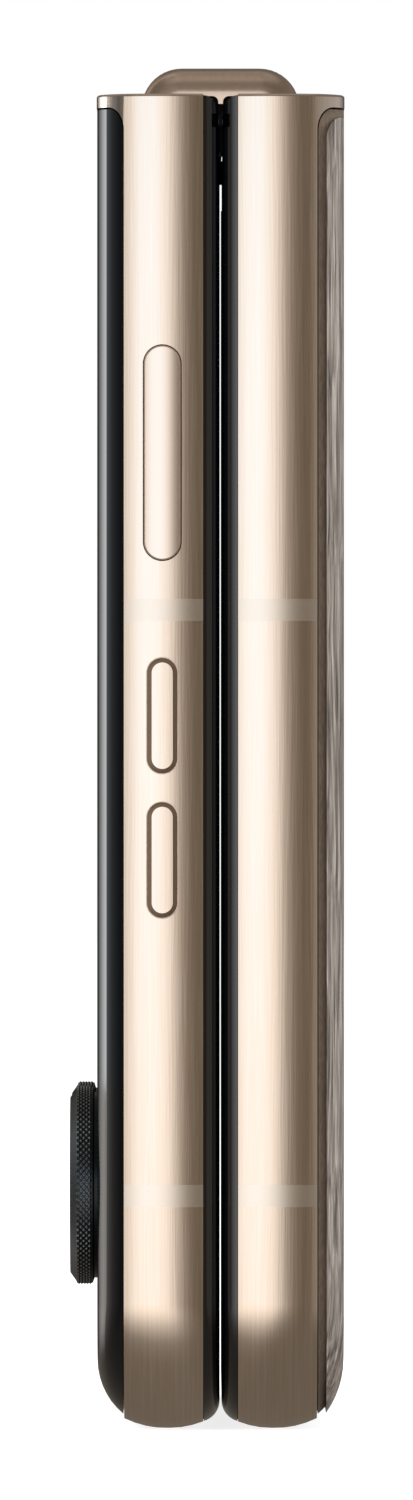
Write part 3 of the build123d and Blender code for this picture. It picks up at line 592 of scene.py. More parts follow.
@dataclass(frozen=True)
class RoundedEnd:
    """Small round where swept arcs meet the flat hinge end."""

    arcs: tuple[SweptArc, ...]
    top: float
    radius: float = 0.18 * MM
    tolerance: float = 0.01 * MM

    def __call__(self, point: Vector) -> Optional[Vector]:
        """Say how the round faces.

        Args:
            point: Place in the phone's frame.

        Returns:
            The outward normal at a point on the round, or None off it.
        """
        rise = point.z - (self.top - self.radius)
        nearest = min(self.arcs, key=lambda arc: arc.miss(point))
        if rise < -self.tolerance or nearest.miss(point) > self.radius + self.tolerance:
            return None
        lean = math.asin(min(1.0, max(0.0, rise / self.radius)))
        return nearest.normal(point) * math.cos(lean) + Vector((0, 0, math.sin(lean)))


def arc_through(outline: Outline, a: Pair, b: Pair, c: Pair) -> SweptArc:
    """Draw an arc through three places, each an (inset, depth) in millimetres.

    Args:
        outline: Outline that carries the arc.
        a: First place.
        b: Second place.
        c: Third place.

    Returns:
        The arc.
    """
    (ax, ay), (bx, by), (cx, cy) = a, b, c
    d = 2 * (ax * (by - cy) + bx * (cy - ay) + cx * (ay - by))
    sa, sb, sc = (x * x + y * y for x, y in (a, b, c))
    x = (sa * (by - cy) + sb * (cy - ay) + sc * (ay - by)) / d
    y = (sa * (cx - bx) + sb * (ax - cx) + sc * (bx - ax)) / d
    return SweptArc(outline, x * MM, y * MM, math.hypot(ax - x, ay - y) * MM)


def arc_from_crown(outline: Outline, crown: Pair, seat: Pair) -> SweptArc:
    """Draw an arc that leaves a flat face at its crown, from (inset, depth) places in millimetres.

    Args:
        outline: Outline that carries the arc.
        crown: Place where the arc leaves the face.
        seat: Place where it ends.

    Returns:
        The arc.
    """
    run, rise = crown[0] - seat[0], crown[1] - seat[1]
    radius = (run * run + rise * rise) / (2 * abs(rise))
    centre = crown[1] - math.copysign(radius, rise)
    return SweptArc(outline, crown[0] * MM, centre * MM, radius * MM)


@dataclass(frozen=True)
class SpineShape:
    """Rounded spine: a section with round shoulders, whose ends are rounded too."""

    middle_y: float
    half_width: float
    top: float
    half_length: float
    shoulder: float = 2.50 * MM
    end_round: float = 1.60 * MM
    tolerance: float = 0.04 * MM

    def __call__(self, point: Vector) -> Optional[Vector]:
        """Say how the spine's skin faces.

        Args:
            point: Place in the phone's frame.

        Returns:
            The outward normal at a point on the skin, or None off it.
        """
        y, side = abs(point.y - self.middle_y), (1.0 if point.y > self.middle_y else -1.0)
        end = max(0.0, abs(point.x) - (self.half_length - self.end_round))
        if end > self.end_round:
            return None
        lean = math.asin(min(1.0, end / self.end_round))
        drop = self.end_round * (1 - math.cos(lean))
        out = Vector((0, y - (self.half_width - self.shoulder), point.z - (self.top - self.shoulder)))
        if out.y > 0 and out.z > 0:
            if abs(out.length + drop - self.shoulder) > self.tolerance:
                return None
            flat = Vector((0, side * out.y, out.z)).normalized()
        elif abs(point.z + drop - self.top) < self.tolerance:
            flat = Vector((0, 0, 1))
        elif abs(y + drop - self.half_width) < self.tolerance:
            flat = Vector((0, side, 0))
        else:
            return None
        return flat * math.cos(lean) + Vector((math.copysign(math.sin(lean), point.x), 0, 0))


def corner_normals(mesh: Mesh, fields: list[NormalField], crease: float) -> list[Vector]:
    """Work out a normal for each face corner.

    A corner takes the exact normal where its whole face lies on a known surface. Elsewhere it takes
    the area-weighted mean of the faces round it that meet its own face at less than the crease angle.

    Args:
        mesh: Mesh of merged triangles.
        fields: Known surfaces.
        crease: Largest angle that still shades as smooth, in degrees.

    Returns:
        One normal for each loop.
    """
    exact = [[f(v.co) for f in fields] for v in mesh.vertices]
    around: list[list[int]] = [[] for _ in mesh.vertices]
    for face in mesh.polygons:
        for vertex in face.vertices:
            around[vertex].append(face.index)
    faces = [(face.normal.copy(), face.area) for face in mesh.polygons]
    cosine = math.cos(math.radians(crease))
    normals = [Vector((0, 0, 1))] * len(mesh.loops)
    for face in mesh.polygons:
        own = faces[face.index][0]
        known = None
        for index in range(len(fields)):
            found = [exact[vertex][index] for vertex in face.vertices]
            if all(n is not None and n.dot(own) > cosine for n in found):
                known = found
                break
        for order, loop in enumerate(face.loop_indices):
            if known:
                normals[loop] = known[order]
                continue
            total = Vector((0, 0, 0))
            for other in around[face.vertices[order]]:
                normal, area = faces[other]
                if normal.dot(own) > cosine:
                    total += normal * area
            normals[loop] = total.normalized() if total.length > 0 else own
    return normals


@dataclass
class SmoothCopies:
    """Maker of smoothly shaded stand-ins for the CAD nodes that the eye sees.

    A rim lies between a face that looks along +X by more than `outer` and one by less than `inner`.
    """

    nodes: dict[str, Object]
    outline: Outline
    merge: float = 0.001 * MM
    outer: float = 0.9
    inner: float = 0.3

    def make(self, node: str, finish: Finish, body: str, slot: str,
             fields: Iterable[NormalField] = (), crease: float = 32.0, rim: float = 0.0) -> Object:
        """Copy a CAD node, merge its triangles, shade it smoothly and dress it.

        Args:
            node: CAD node that the copy replaces.
            finish: Finish of the whole copy.
            body: Body that it rides on.
            slot: Not used.
            fields: Surfaces with known normals.
            crease: Largest angle that still shades as smooth, in degrees.
            rim: Width of a chamfer round the face on the +X side.

        Returns:
            The finished piece.
        """
        mesh = self.merged(node, rim)
        self.add_path(mesh)
        smooth(mesh)
        mesh.normals_split_custom_set(corner_normals(mesh, list(fields), crease))
        mesh.materials.append(finish.material())
        piece = add_object(mesh.name, mesh)
        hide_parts(node)
        settle(piece, body, finish)
        return piece

    def merged(self, node: str, rim: float) -> Mesh:
        """Copy a node's mesh with its loose triangles joined.

        Args:
            node: CAD node to copy.
            rim: Width of a chamfer round the face on the +X side.

        Returns:
            The new mesh.
        """
        working = bmesh.new()
        working.from_mesh(self.nodes[node].data)
        bmesh.ops.remove_doubles(working, verts=working.verts, dist=self.merge)
        if rim:
            working.normal_update()
            edges = [e for e in working.edges if len(e.link_faces) == 2
                     and max(f.normal.x for f in e.link_faces) > self.outer
                     and min(f.normal.x for f in e.link_faces) < self.inner]
            bmesh.ops.bevel(working, geom=edges, offset=rim, segments=1, profile=0.5, affect="EDGES")
        mesh = bpy.data.meshes.new(f"{node}_smooth")
        working.to_mesh(mesh)
        working.free()
        return mesh

    def add_path(self, mesh: Mesh) -> None:
        """Store, for each point, its distance along the outline, its depth and its inset.

        Args:
            mesh: Mesh that gets the attribute.
        """
        values: list[float] = []
        for vertex in mesh.vertices:
            _, inset, along = self.outline.locate(vertex.co)
            values += [along, self.outline.depth(vertex.co), inset]
        layer = mesh.attributes.new(PATH, "FLOAT_VECTOR", "POINT")
        layer.data.foreach_set("vector", values)


# ---- Studio ----
@dataclass(frozen=True)
class LightStop:
    """One stop of the surround's light: an angle in degrees, a level, and its warmth (below 0 is cool)."""

    angle: float
    level: float
    warm: float = 0.0

    def colour(self, peak: float, most: float = math.inf) -> Colour:
        """Linear colour as a share of the peak, with its level held to a most."""
        share = min(self.level, most) / peak
        return (*(share * (neutral - pull * self.warm) for neutral, pull in TINT), 1.0)


@dataclass
class Studio:
    """White sweep, soft lamps, a graded surround that shapes the reflections, and the camera."""

    outline: Outline
    camera_distance: float = 1.2
    scale_plane: float = 33.0 * MM
    sensor_mm: float = 24.0
    world_light: Pair = (0.45, 1.0)
    floor_colour: str = "#b4b4b4"
    floor_glow: float = 0.82
    floor_reach: float = 3.0
    card_height: float = 0.05 * MM
    dome_radius: float = 1.2
    dome_peak: float = 6.0
    dome_rings: int = 24
    dome_turns: int = 96
    wall_top: Pair = (0.10, 0.36)
    wall_dark: Colour = (0.07, 0.06, 0.05, 1.0)
    floor_most: float = 1.9
    floor_warmth: float = 0.25
    footprint: Triple = (28.5 * MM, 8.6 * MM, 0.0)
    foot_shade: float = 81.5 * MM
    foot_light: LightStop = LightStop(0, 0.17, 0.8)
    foot_fade: tuple[Pair, ...] = (
        (0.0, 0.0), (0.11, 0.02), (0.17, 0.09), (0.26, 0.36), (0.40, 0.68), (0.63, 0.90), (1.0, 1.0))
    centre: Triple = (0, 0, 42 * MM)
    # Each lamp has a name, a bearing and a rise in degrees, a width and a power.
    lamps: tuple[tuple[str, float, float, float, float], ...] = (
        ("key_lamp", -26.0, 20.0, 0.8, 7.0), ("rim_lamp", -132.0, 15.0, 0.5, 6.0),
        ("fill_lamp", 105.0, 24.0, 0.7, 5.0), ("top_lamp", 50.0, 78.0, 0.6, 6.0))
    overhead: tuple[LightStop, ...] = tuple(LightStop(*row) for row in (
        (6, 0.0), (17, 0.11, 0.5), (27, 0.20, 0.5), (42, 0.16, 0.6), (53, 0.18, 0.5), (68, 0.33, 0.4),
        (90, 0.29, 0.4)))
    around: tuple[LightStop, ...] = tuple(LightStop(*row) for row in (
        (-180, 0.02), (-160, 0.03), (-151, 0.35), (-140, 1.1, -0.2), (-129, 2.9, -0.2),
        (-119, 5.2, -0.2), (-118, 0.75, -0.4), (-100, 0.28, -0.6), (-82, 0.09, -0.6), (-66, 0.25),
        (-57, 0.70), (-46, 1.00), (-40, 1.18, -0.3), (-33, 1.32, -1.0), (-14, 1.34, -1.2),
        (-6, 1.30, -0.5), (0, 1.20, -0.1), (4, 1.05), (12, 0.58, 0.3), (18, 0.365, 0.6),
        (24, 0.24, 0.9), (34, 0.16, 1.1), (43, 0.16, 1.1), (50, 0.36, 0.6), (64, 0.30, 0.6),
        (90, 0.40), (130, 0.50), (160, 0.10), (180, 0.02)))

    def build(self) -> None:
        """Make the floor, the world, the lamps, the dome and the camera."""
        self.make_world()
        self.make_floor()
        self.make_lamps()
        self.make_dome()
        self.make_floor_card()
        self.make_camera()

    def bright_ray(self, tree: NodeTree) -> Node:
        """Tell the rays that should see a white surround from the others.

        Args:
            tree: Material's or world's node tree.

        Returns:
            Node that gives 1 for rays from the camera, off metal or through glass, and 0 for others.
        """
        rays = add_node(tree, "ShaderNodeLightPath").outputs
        direct = add_node(tree, "ShaderNodeMath", {
            0: rays["Is Camera Ray"], 1: rays["Is Glossy Ray"]}, operation="MAXIMUM")
        return add_node(tree, "ShaderNodeMath", {
            0: direct, 1: rays["Is Transmission Ray"]}, operation="MAXIMUM")

    def make_world(self) -> None:
        """White surround that lights the object only softly."""
        world = bpy.data.worlds.new("white_surround")
        world.use_nodes = True
        tree = world.node_tree
        tree.nodes.clear()
        low, high = self.world_light
        strength = add_node(tree, "ShaderNodeMapRange", {
            "Value": self.bright_ray(tree), "To Min": low, "To Max": high})
        shine = add_node(tree, "ShaderNodeBackground", {"Color": WHITE, "Strength": strength})
        add_node(tree, "ShaderNodeOutputWorld", {"Surface": shine})
        bpy.context.scene.world = world

    def make_floor(self) -> None:
        """Pale floor that reads as white and keeps the object's shadow."""
        material = empty_material("pale_floor")
        tree = material.node_tree
        matt = add_node(tree, "ShaderNodeBsdfDiffuse", {"Color": linear(self.floor_colour)})
        lift = add_node(tree, "ShaderNodeMath", {
            0: self.bright_ray(tree), 1: self.floor_glow}, operation="MULTIPLY")
        glow = add_node(tree, "ShaderNodeEmission", {"Color": WHITE, "Strength": lift})
        both = add_node(tree, "ShaderNodeAddShader", {0: matt, 1: glow})
        add_node(tree, "ShaderNodeOutputMaterial", {"Surface": both})
        floor = add_piece("studio_floor", level_square(self.floor_reach, 0), [(0, 1, 2, 3)], material)
        floor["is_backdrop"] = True

    def make_card(self, name: str, points: list, faces: Faces, material: Material,
                  colour: NodeSocket) -> None:
        """Add a glowing stage piece that only reflections see.

        Args:
            name: Piece's name.
            points: Corner points.
            faces: Faces, as point numbers.
            material: Its material, still without an output.
            colour: Light's colour as a share of the peak.
        """
        tree = material.node_tree
        glow = add_node(tree, "ShaderNodeEmission", {"Color": colour, "Strength": self.dome_peak})
        add_node(tree, "ShaderNodeOutputMaterial", {"Surface": glow})
        card = add_piece(name, points, faces, material)
        card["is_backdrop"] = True
        card.visible_camera = False
        card.visible_diffuse = False
        card.visible_shadow = False
        material.cycles.emission_sampling = "NONE"

    def level_around(self, tree: NodeTree, place: NodeSocket, most: float = math.inf,
                     least_warm: float = -math.inf, origin_x: float = 0.0) -> Node:
        """Grade the light by its bearing from the object.

        Args:
            tree: Material's node tree.
            place: Object coordinates.
            most: Highest level used.
            least_warm: Lowest warmth used.
            origin_x: Where along X the bearing is taken from.

        Returns:
            Node that gives the colour as a share of the peak.
        """
        apart = add_node(tree, "ShaderNodeSeparateXYZ", {0: place}).outputs
        along = add_node(tree, "ShaderNodeMath", {0: apart["X"], 1: origin_x}, operation="SUBTRACT")
        turn = add_node(tree, "ShaderNodeMath", {0: apart["Y"], 1: along}, operation="ARCTAN2")
        share = add_node(tree, "ShaderNodeMapRange", {
            "Value": turn, "From Min": -math.pi, "From Max": math.pi})
        level = add_node(tree, "ShaderNodeValToRGB", {"Fac": share})
        stops = [replace(stop, warm=max(stop.warm, least_warm)) for stop in self.around]
        set_ramp(level, [((stop.angle + 180) / 360, stop.colour(self.dome_peak, most)) for stop in stops])
        return level

    def make_dome(self) -> None:
        """Graded dome: level by bearing near the ground, and a dim ceiling with a soft box overhead."""
        material = empty_material("graded_light_dome")
        tree = material.node_tree
        place = add_node(tree, "ShaderNodeTexCoord").outputs["Object"]
        height = add_node(tree, "ShaderNodeMapRange", {
            "Value": add_node(tree, "ShaderNodeSeparateXYZ", {0: place}).outputs["Z"],
            "From Min": 0.0, "From Max": self.dome_radius})
        mask = add_node(tree, "ShaderNodeValToRGB", {"Fac": height})
        full, dark = self.wall_top
        set_ramp(mask, [(0.0, WHITE), (full, WHITE), (dark, self.wall_dark), (1.0, self.wall_dark)])
        level = self.level_around(tree, place)
        walls = add_node(tree, "ShaderNodeMix", {
            "Factor": 1.0, 6: level, 7: mask}, data_type="RGBA", blend_type="MULTIPLY")
        ceiling = add_node(tree, "ShaderNodeValToRGB", {"Fac": height})
        set_ramp(ceiling, [(math.sin(math.radians(stop.angle)), stop.colour(self.dome_peak))
                           for stop in self.overhead])
        total = add_node(tree, "ShaderNodeMix", {
            "Factor": 1.0, 6: walls.outputs[2], 7: ceiling}, data_type="RGBA", blend_type="ADD")
        rings, turns = self.dome_rings, self.dome_turns
        points = [heading(2 * math.pi * (step + 0.5) / turns, math.pi / 2 * ring / rings) * self.dome_radius
                  for ring in range(rings) for step in range(turns)]
        top, last = len(points), (rings - 1) * turns
        points.append((0, 0, self.dome_radius))
        faces = band_faces(rings, turns)
        faces += [(last + step, last + (step + 1) % turns, top) for step in range(turns)]
        self.make_card("light_dome", points, faces, material, total.outputs[2])

    def make_floor_card(self) -> None:
        """Graded card on the floor: the dome's levels by bearing, with a dark pool round the foot."""
        material = empty_material("graded_floor_card")
        tree = material.node_tree
        place = add_node(tree, "ShaderNodeTexCoord").outputs["Object"]
        apart = add_node(tree, "ShaderNodeVectorMath", {0: place}, operation="ABSOLUTE")
        beyond = add_node(tree, "ShaderNodeVectorMath", {0: apart, 1: self.footprint}, operation="SUBTRACT")
        ways = add_node(tree, "ShaderNodeSeparateXYZ", {0: beyond}).outputs
        away = add_node(tree, "ShaderNodeMath", {0: ways["X"], 1: ways["Y"]}, operation="MAXIMUM")
        share = add_node(tree, "ShaderNodeMapRange", {
            "Value": away, "From Min": 0.0, "From Max": self.foot_shade})
        fade = add_node(tree, "ShaderNodeValToRGB", {"Fac": share})
        set_ramp(fade, [(at, (v, v, v, 1.0)) for at, v in self.foot_fade])
        total = add_node(tree, "ShaderNodeMix", {
            "Factor": fade, 6: self.foot_light.colour(self.dome_peak),
            7: self.level_around(tree, place, self.floor_most, self.floor_warmth, self.footprint[0])},
            data_type="RGBA")
        corners = level_square(self.dome_radius, self.card_height)
        self.make_card("floor_card", corners, [(0, 1, 2, 3)], material, total.outputs[2])

    def make_lamps(self) -> None:
        """Soft key lamp left of the lens, a rim lamp behind it, a fill and a top lamp."""
        for name, azimuth, elevation, width, power in self.lamps:
            data = bpy.data.lights.new(name, "AREA")
            data.shape = "SQUARE"
            data.size = width
            data.energy = power
            lamp = add_object(name, data)
            away = heading(math.radians(azimuth), math.radians(elevation))
            lamp.location = Vector(self.centre) + away
            lamp.rotation_euler = (-away).to_track_quat("-Z", "Y").to_euler()
            lamp.visible_glossy = False

    def make_camera(self) -> None:
        """Long lens, square on to the key side. The sensor's width is the picture's long side."""
        data = bpy.data.cameras.new("side_camera")
        camera = add_object("side_camera", data)
        per_pixel = MM / PIXELS_PER_MM
        y = self.outline.fold_y + (IMAGE_WIDTH / 2 - FOLD_PIXEL) * per_pixel
        z = (GROUND_PIXEL - IMAGE_HEIGHT / 2) * per_pixel
        camera.location = (self.scale_plane + self.camera_distance, y, z)
        camera.rotation_euler = (math.radians(90), 0, math.radians(90))
        data.sensor_width = self.sensor_mm
        data.lens = self.sensor_mm * self.camera_distance / (IMAGE_HEIGHT * per_pixel)
        data.clip_end = 2 * self.camera_distance + self.floor_reach
        bpy.context.scene.camera = camera


# ---- The phone ----
@dataclass
class SideRails:
    """Both frames' metal with their plastic breaks."""

    copies: SmoothCopies
    front: Pair = (0.42, 1.09)
    crest: Pair = (0.0, 3.45)
    back: Pair = (0.62, 6.04)
    lip_crown: Pair = (4.02, 7.75)
    lip_seat: Pair = (0.62, 6.01)

    def face(self) -> SweptArc:
        """Arc of the rails' outer face."""
        return arc_through(self.copies.outline, self.front, self.crest, self.back)

    def build(self) -> None:
        """Copy the frames and bands with exact normals on the rails and the lips."""
        rail = self.face()
        lip = arc_from_crown(self.copies.outline, self.lip_crown, self.lip_seat)
        end = RoundedEnd((rail, lip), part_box("lower_frame")[1].z)
        for half in Half:
            self.copies.make(f"{half.word}_frame", BRUSHED_RAIL, half.body, "frame", [end, rail, lip])
            self.copies.make(f"{half.word}_antenna_bands", ANTENNA_POLYMER, half.body, "band", [rail])


@dataclass
class Bezels:
    """Raised rims round the main screen, and the black ends of the spine between them."""

    copies: SmoothCopies
    crown: Pair = (1.75, 0.06)
    seat: Pair = (0.45, 1.05)
    tape_insets: Pair = (0.55 * MM, 1.80 * MM)
    tape_depths: Pair = (1.05 * MM, 1.09 * MM)
    tape_top: float = 78.0 * MM
    cut_facing: float = 0.98

    def build(self) -> None:
        """Copy both rims with exact normals on their rounding and matt cut ends, and bond them on."""
        rounding = arc_from_crown(self.copies.outline, self.crown, self.seat)
        for half in Half:
            rim = self.copies.make(f"{half.word}_bezel", RIM_RUBBER, half.body, "bezel", [rounding])
            rim.data.materials.append(FOAM_SEAL.material())
            for face in rim.data.polygons:
                if abs(face.normal.x) > self.cut_facing and face.center.z > self.tape_top:
                    face.material_index = 1
            settle(self.tape(half), half.body, FOAM_SEAL)
        self.copies.make("hinge_end_caps", FOAM_SEAL, "spine", "bezel")

    def tape(self, half: Half) -> Object:
        """Build the foam tape between a rim and its frame, which keeps light out of the joint.

        Args:
            half: Half that the tape is on.

        Returns:
            The tape.
        """
        outline = self.copies.outline
        (outer, inner), (near, far) = self.tape_insets, self.tape_depths
        section = [(outer, near), (inner, near), (inner, far), (outer, far)]
        lines = [[Vector((x, outline.fold_y + half.value * depth, z))
                  for x, z in outline.walk(inset, self.tape_top)] for inset, depth in section]
        points = [point for station in zip(*lines) for point in station]
        count = len(section)
        faces = band_faces(len(lines[0]), count)
        faces += [tuple(range(count)), tuple(range(len(points) - count, len(points)))]
        return closed_piece(f"{half.word}_bezel_tape", points, faces, FOAM_SEAL)


@dataclass
class Covers:
    """Front glass, patterned back panel and the tray behind it."""

    copies: SmoothCopies
    crown: Pair = (4.30, 7.72)
    seat: Pair = (0.90, 6.10)
    panel_crown: Pair = (4.35, 7.72)
    panel_seat: Pair = (0.95, 6.62)

    def build(self) -> None:
        """Copy the covers with exact normals on their domed edges."""
        dome = arc_from_crown(self.copies.outline, self.crown, self.seat)
        panel = arc_from_crown(self.copies.outline, self.panel_crown, self.panel_seat)
        self.copies.make("cover_glass", INKED_GLASS, Half.UPPER.body, "cover_glass", [dome])
        self.copies.make("back_cover", GRAINED_PANEL, Half.LOWER.body, "back_cover", [panel])
        self.copies.make("back_cover_base", TRAY_RESIN, Half.LOWER.body, "tray", [dome])


@dataclass
class Spine:
    """Rounded cover of the hinge."""

    copies: SmoothCopies
    half_width: float = 4.93 * MM

    def build(self) -> None:
        """Copy the spine with exact normals on its shoulders and ends."""
        low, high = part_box("hinge_cover")
        shape = SpineShape((low.y + high.y) / 2, self.half_width, high.z, high.x)
        self.copies.make("hinge_cover", POLISHED_SPINE, "spine", "spine", [shape])


@dataclass
class Keys:
    """Three keys and the SIM tray's face, flush with the rails."""

    copies: SmoothCopies
    rails: SideRails
    side_rim: float = 0.09 * MM
    side_bulge: float = 1.8
    shaded_bevel_facing: Pair = (0.3, 0.95)

    def build(self) -> None:
        """Copy the keys, each with painted shade on the bevel round its face."""
        crest = self.rails.face()
        pillow = replace(crest, bulge=self.side_bulge)
        least, most = self.shaded_bevel_facing
        self.copies.make("sim_tray", BRUSHED_RAIL, "sim_tray", "key", [crest])
        for name, finish, edge, face_arc, rim in (
                ("side_key", SATIN_KEY, FINE_CHAMFER_PAINTED_SHADE, pillow, self.side_rim),
                ("volume_up_key", BRUSHED_RAIL, KEY_BEVEL_PAINTED_SHADE, crest, 0.0),
                ("volume_down_key", BRUSHED_RAIL, KEY_BEVEL_PAINTED_SHADE, crest, 0.0)):
            piece = self.copies.make(name, finish, name, "key", [face_arc], rim=rim)
            # Slot 1 holds the bevel's painted shade, a flat brown that stands in for the shade round the key.
            piece.data.materials.append(edge.material())
            for face in piece.data.polygons:
                if least < face.normal.x < most:
                    face.material_index = 1


@dataclass
class FlexibleScreen:
    """The stretch of the screen that bends in the fold: one sheet for each half, built in its folded shape.

    A point's rest place is worked back from its open place: at the blend's weight there, the bend
    brings it onto the flat screen.
    """

    fold_y: float
    half_width: float = 33.15 * MM
    pivot: Pair = (1.125 * MM, 82.4 * MM)
    face_z: float = 81.635 * MM
    thickness: float = 0.30 * MM
    reach: float = 3.375 * MM
    bend: float = 0.45 * MM
    steps: int = 36
    rounds: int = 200
    easing: float = 0.3
    crease: float = 40.0

    def build(self) -> None:
        """Build a sheet for each half, which together stand for the folded stretch."""
        for half in Half:
            piece = self.sheet(half)
            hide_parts("display_fold")
            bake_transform(piece)
            LOG.info("%s bends between %s and spine", piece.name, half.body)

    def weight(self, out: float, z: float) -> float:
        """Work out the blend's weight at a place.

        Args:
            out: Distance from the fold plane.
            z: Height.

        Returns:
            0 on the half's side, 1 at the fold plane, and between them in the bend.
        """
        share = (self.bend - out + z - self.face_z + self.bend) / (2 * self.bend)
        share = min(1.0, max(0.0, share))
        return share * share * (3 - 2 * share)

    def rest(self, out: float, z: float, guess: float) -> Triple:
        """Find where a point of the open screen lies when the phone is folded.

        Args:
            out: Distance from the fold plane when open.
            z: Height when open.
            guess: Weight to start from.

        Returns:
            Distance from the fold plane and height at rest, and the weight there.
        """
        a, b = out - self.pivot[0], z - self.pivot[1]
        for _ in range(self.rounds):
            turn = (1 - guess) * math.pi / 2
            place = (self.pivot[0] + a * math.cos(turn) + b * math.sin(turn),
                     self.pivot[1] - a * math.sin(turn) + b * math.cos(turn))
            guess += self.easing * (self.weight(*place) - guess)
        return (*place, guess)

    def sheet(self, half: Half) -> Object:
        """Build one half's sheet: a closed strip whose section follows the fold.

        Args:
            half: Half that the sheet bends towards.

        Returns:
            The sheet.
        """
        section = []
        for level in (self.face_z, self.face_z + self.thickness):
            guess = 1.0
            line = []
            for step in range(self.steps + 1):
                out, z, guess = self.rest(self.reach * step / self.steps, level, guess)
                line.append((self.fold_y + half.value * out, z))
            section.append(line)
        loop = section[0] + section[1][::-1]
        count = len(loop)
        points = [(side * self.half_width, y, z) for side in (-1, 1) for y, z in loop]
        faces = band_faces(2, count)
        for base in (0, count):
            faces += [(base + i, base + i + 1, base + count - 2 - i, base + count - 1 - i)
                      for i in range(self.steps)]
        piece = closed_piece(f"folding_screen_{half.word}", points, faces, SCREEN_FILM)
        smooth(piece.data, self.crease)
        return piece


@dataclass
class CameraRings:
    """Turned camera rings with a band of diamond knurling, and the lenses inside them."""

    copies: SmoothCopies
    band_start: float = 0.37 * MM
    band_width: float = 1.06 * MM
    columns: int = 96
    rows: int = 5
    root: float = 0.04 * MM
    proud: float = 0.09 * MM
    ring_crease: float = 25.0
    lens_crease: float = 40.0

    def build(self) -> None:
        """Dress both rings and lenses, and knurl each ring."""
        body = Half.UPPER.body
        for place in ("near", "far"):
            ring = f"camera_ring_{place}"
            self.copies.make(ring, BLACK_RING, body, "ring", crease=self.ring_crease)
            self.copies.make(f"camera_lens_{place}", LENS_GLASS, body, "lens", crease=self.lens_crease)
            # The knurl's pale grey paints glints onto the black ring.
            settle(self.knurl(f"{ring}_knurl", *round_face(ring)), body, KNURL_PAINTED_GLINTS)

    def diamond(self, name: str, pitch: float, height: float) -> Object:
        """Make one knurl tooth: a low pyramid on a diamond base, pointing along X.

        Args:
            name: Tooth's name.
            pitch: Its width round the ring.
            height: Its height across the band.

        Returns:
            The tooth.
        """
        y, z = pitch / 2, height / 2
        points = [(-self.root, -y, 0), (-self.root, 0, -z), (-self.root, y, 0), (-self.root, 0, z),
                  (self.proud, 0, 0)]
        faces = [(1, 0, 4), (2, 1, 4), (3, 2, 4), (0, 3, 4), (0, 1, 2, 3)]
        return closed_piece(name, points, faces, KNURL_PAINTED_GLINTS)

    def tree(self) -> NodeTree:
        """Build the knurling tree once: teeth round a circle, in rows that are half a tooth apart.

        Returns:
            The node tree, with its sizes as named inputs.
        """
        made = bpy.data.node_groups.get("diamond_knurling")
        if made:
            return made
        made = bpy.data.node_groups.new("diamond_knurling", "GeometryNodeTree")
        for name, kind in (("Tooth", "Geometry"), ("Columns", "Int"), ("Rows", "Int"), ("Radius", "Float"),
                           ("Row Pitch", "Float"), ("Centre", "Vector"), ("Finish", "Material")):
            made.interface.new_socket(name=name, in_out="INPUT", socket_type=f"NodeSocket{kind}")
        made.interface.new_socket(name="Knurling", in_out="OUTPUT", socket_type="NodeSocketGeometry")
        sizes = add_node(made, "NodeGroupInput").outputs
        circle = add_node(made, "GeometryNodeMeshCircle", {
            "Vertices": sizes["Columns"], "Radius": sizes["Radius"]})
        place = add_node(made, "GeometryNodeInputPosition")
        outward = add_node(made, "FunctionNodeAlignRotationToVector", {"Vector": place}, axis="X",
                           pivot_axis="Z")
        ring = add_node(made, "GeometryNodeInstanceOnPoints", {
            "Points": circle, "Instance": sizes["Tooth"], "Rotation": outward})
        step = add_node(made, "ShaderNodeCombineXYZ", {"Z": sizes["Row Pitch"]})
        line = add_node(made, "GeometryNodeMeshLine", {"Count": sizes["Rows"], "Offset": step})
        half_tooth = add_node(made, "ShaderNodeMath", {0: math.pi, 1: sizes["Columns"]}, operation="DIVIDE")
        row = add_node(made, "GeometryNodeInputIndex")
        turn = add_node(made, "ShaderNodeMath", {0: row, 1: half_tooth}, operation="MULTIPLY")
        about = add_node(made, "ShaderNodeCombineXYZ", {"Z": turn})
        stack = add_node(made, "GeometryNodeInstanceOnPoints", {
            "Points": line, "Instance": ring, "Rotation": about})
        real = add_node(made, "GeometryNodeRealizeInstances", {0: stack})
        placed = add_node(made, "GeometryNodeTransform", {
            "Geometry": real, "Translation": sizes["Centre"], "Rotation": (-math.pi / 2, 0, 0)})
        dressed = add_node(made, "GeometryNodeSetMaterial", {"Geometry": placed, "Material": sizes["Finish"]})
        add_node(made, "NodeGroupOutput", {0: dressed})
        return made

    def knurl(self, name: str, face: Vector, radius: float) -> Object:
        """Knurl a band round a ring.

        Args:
            name: Piece's name.
            face: Middle of the ring's face.
            radius: Ring's radius.

        Returns:
            Plain mesh object at the origin.
        """
        height = 2 * self.band_width / (self.rows + 1)
        tooth = self.diamond(name, 2 * math.pi * radius / self.columns, height)
        centre = (face.x, face.y + self.band_start + height / 2, face.z)
        modifier = tooth.modifiers.new("knurling", "NODES")
        modifier.node_group = self.tree()
        sizes = {"Columns": self.columns, "Rows": self.rows, "Radius": radius, "Row Pitch": height / 2,
                 "Centre": centre, "Finish": KNURL_PAINTED_GLINTS.material()}
        for item in modifier.node_group.interface.items_tree:
            if item.in_out == "INPUT" and item.name in sizes:
                modifier[item.identifier] = sizes[item.name]
        bpy.context.view_layer.update()
        seen = tooth.evaluated_get(bpy.context.evaluated_depsgraph_get())
        mesh = bpy.data.meshes.new_from_object(seen)
        tooth.modifiers.clear()
        mesh.name = name
        tooth.data = mesh
        return tooth


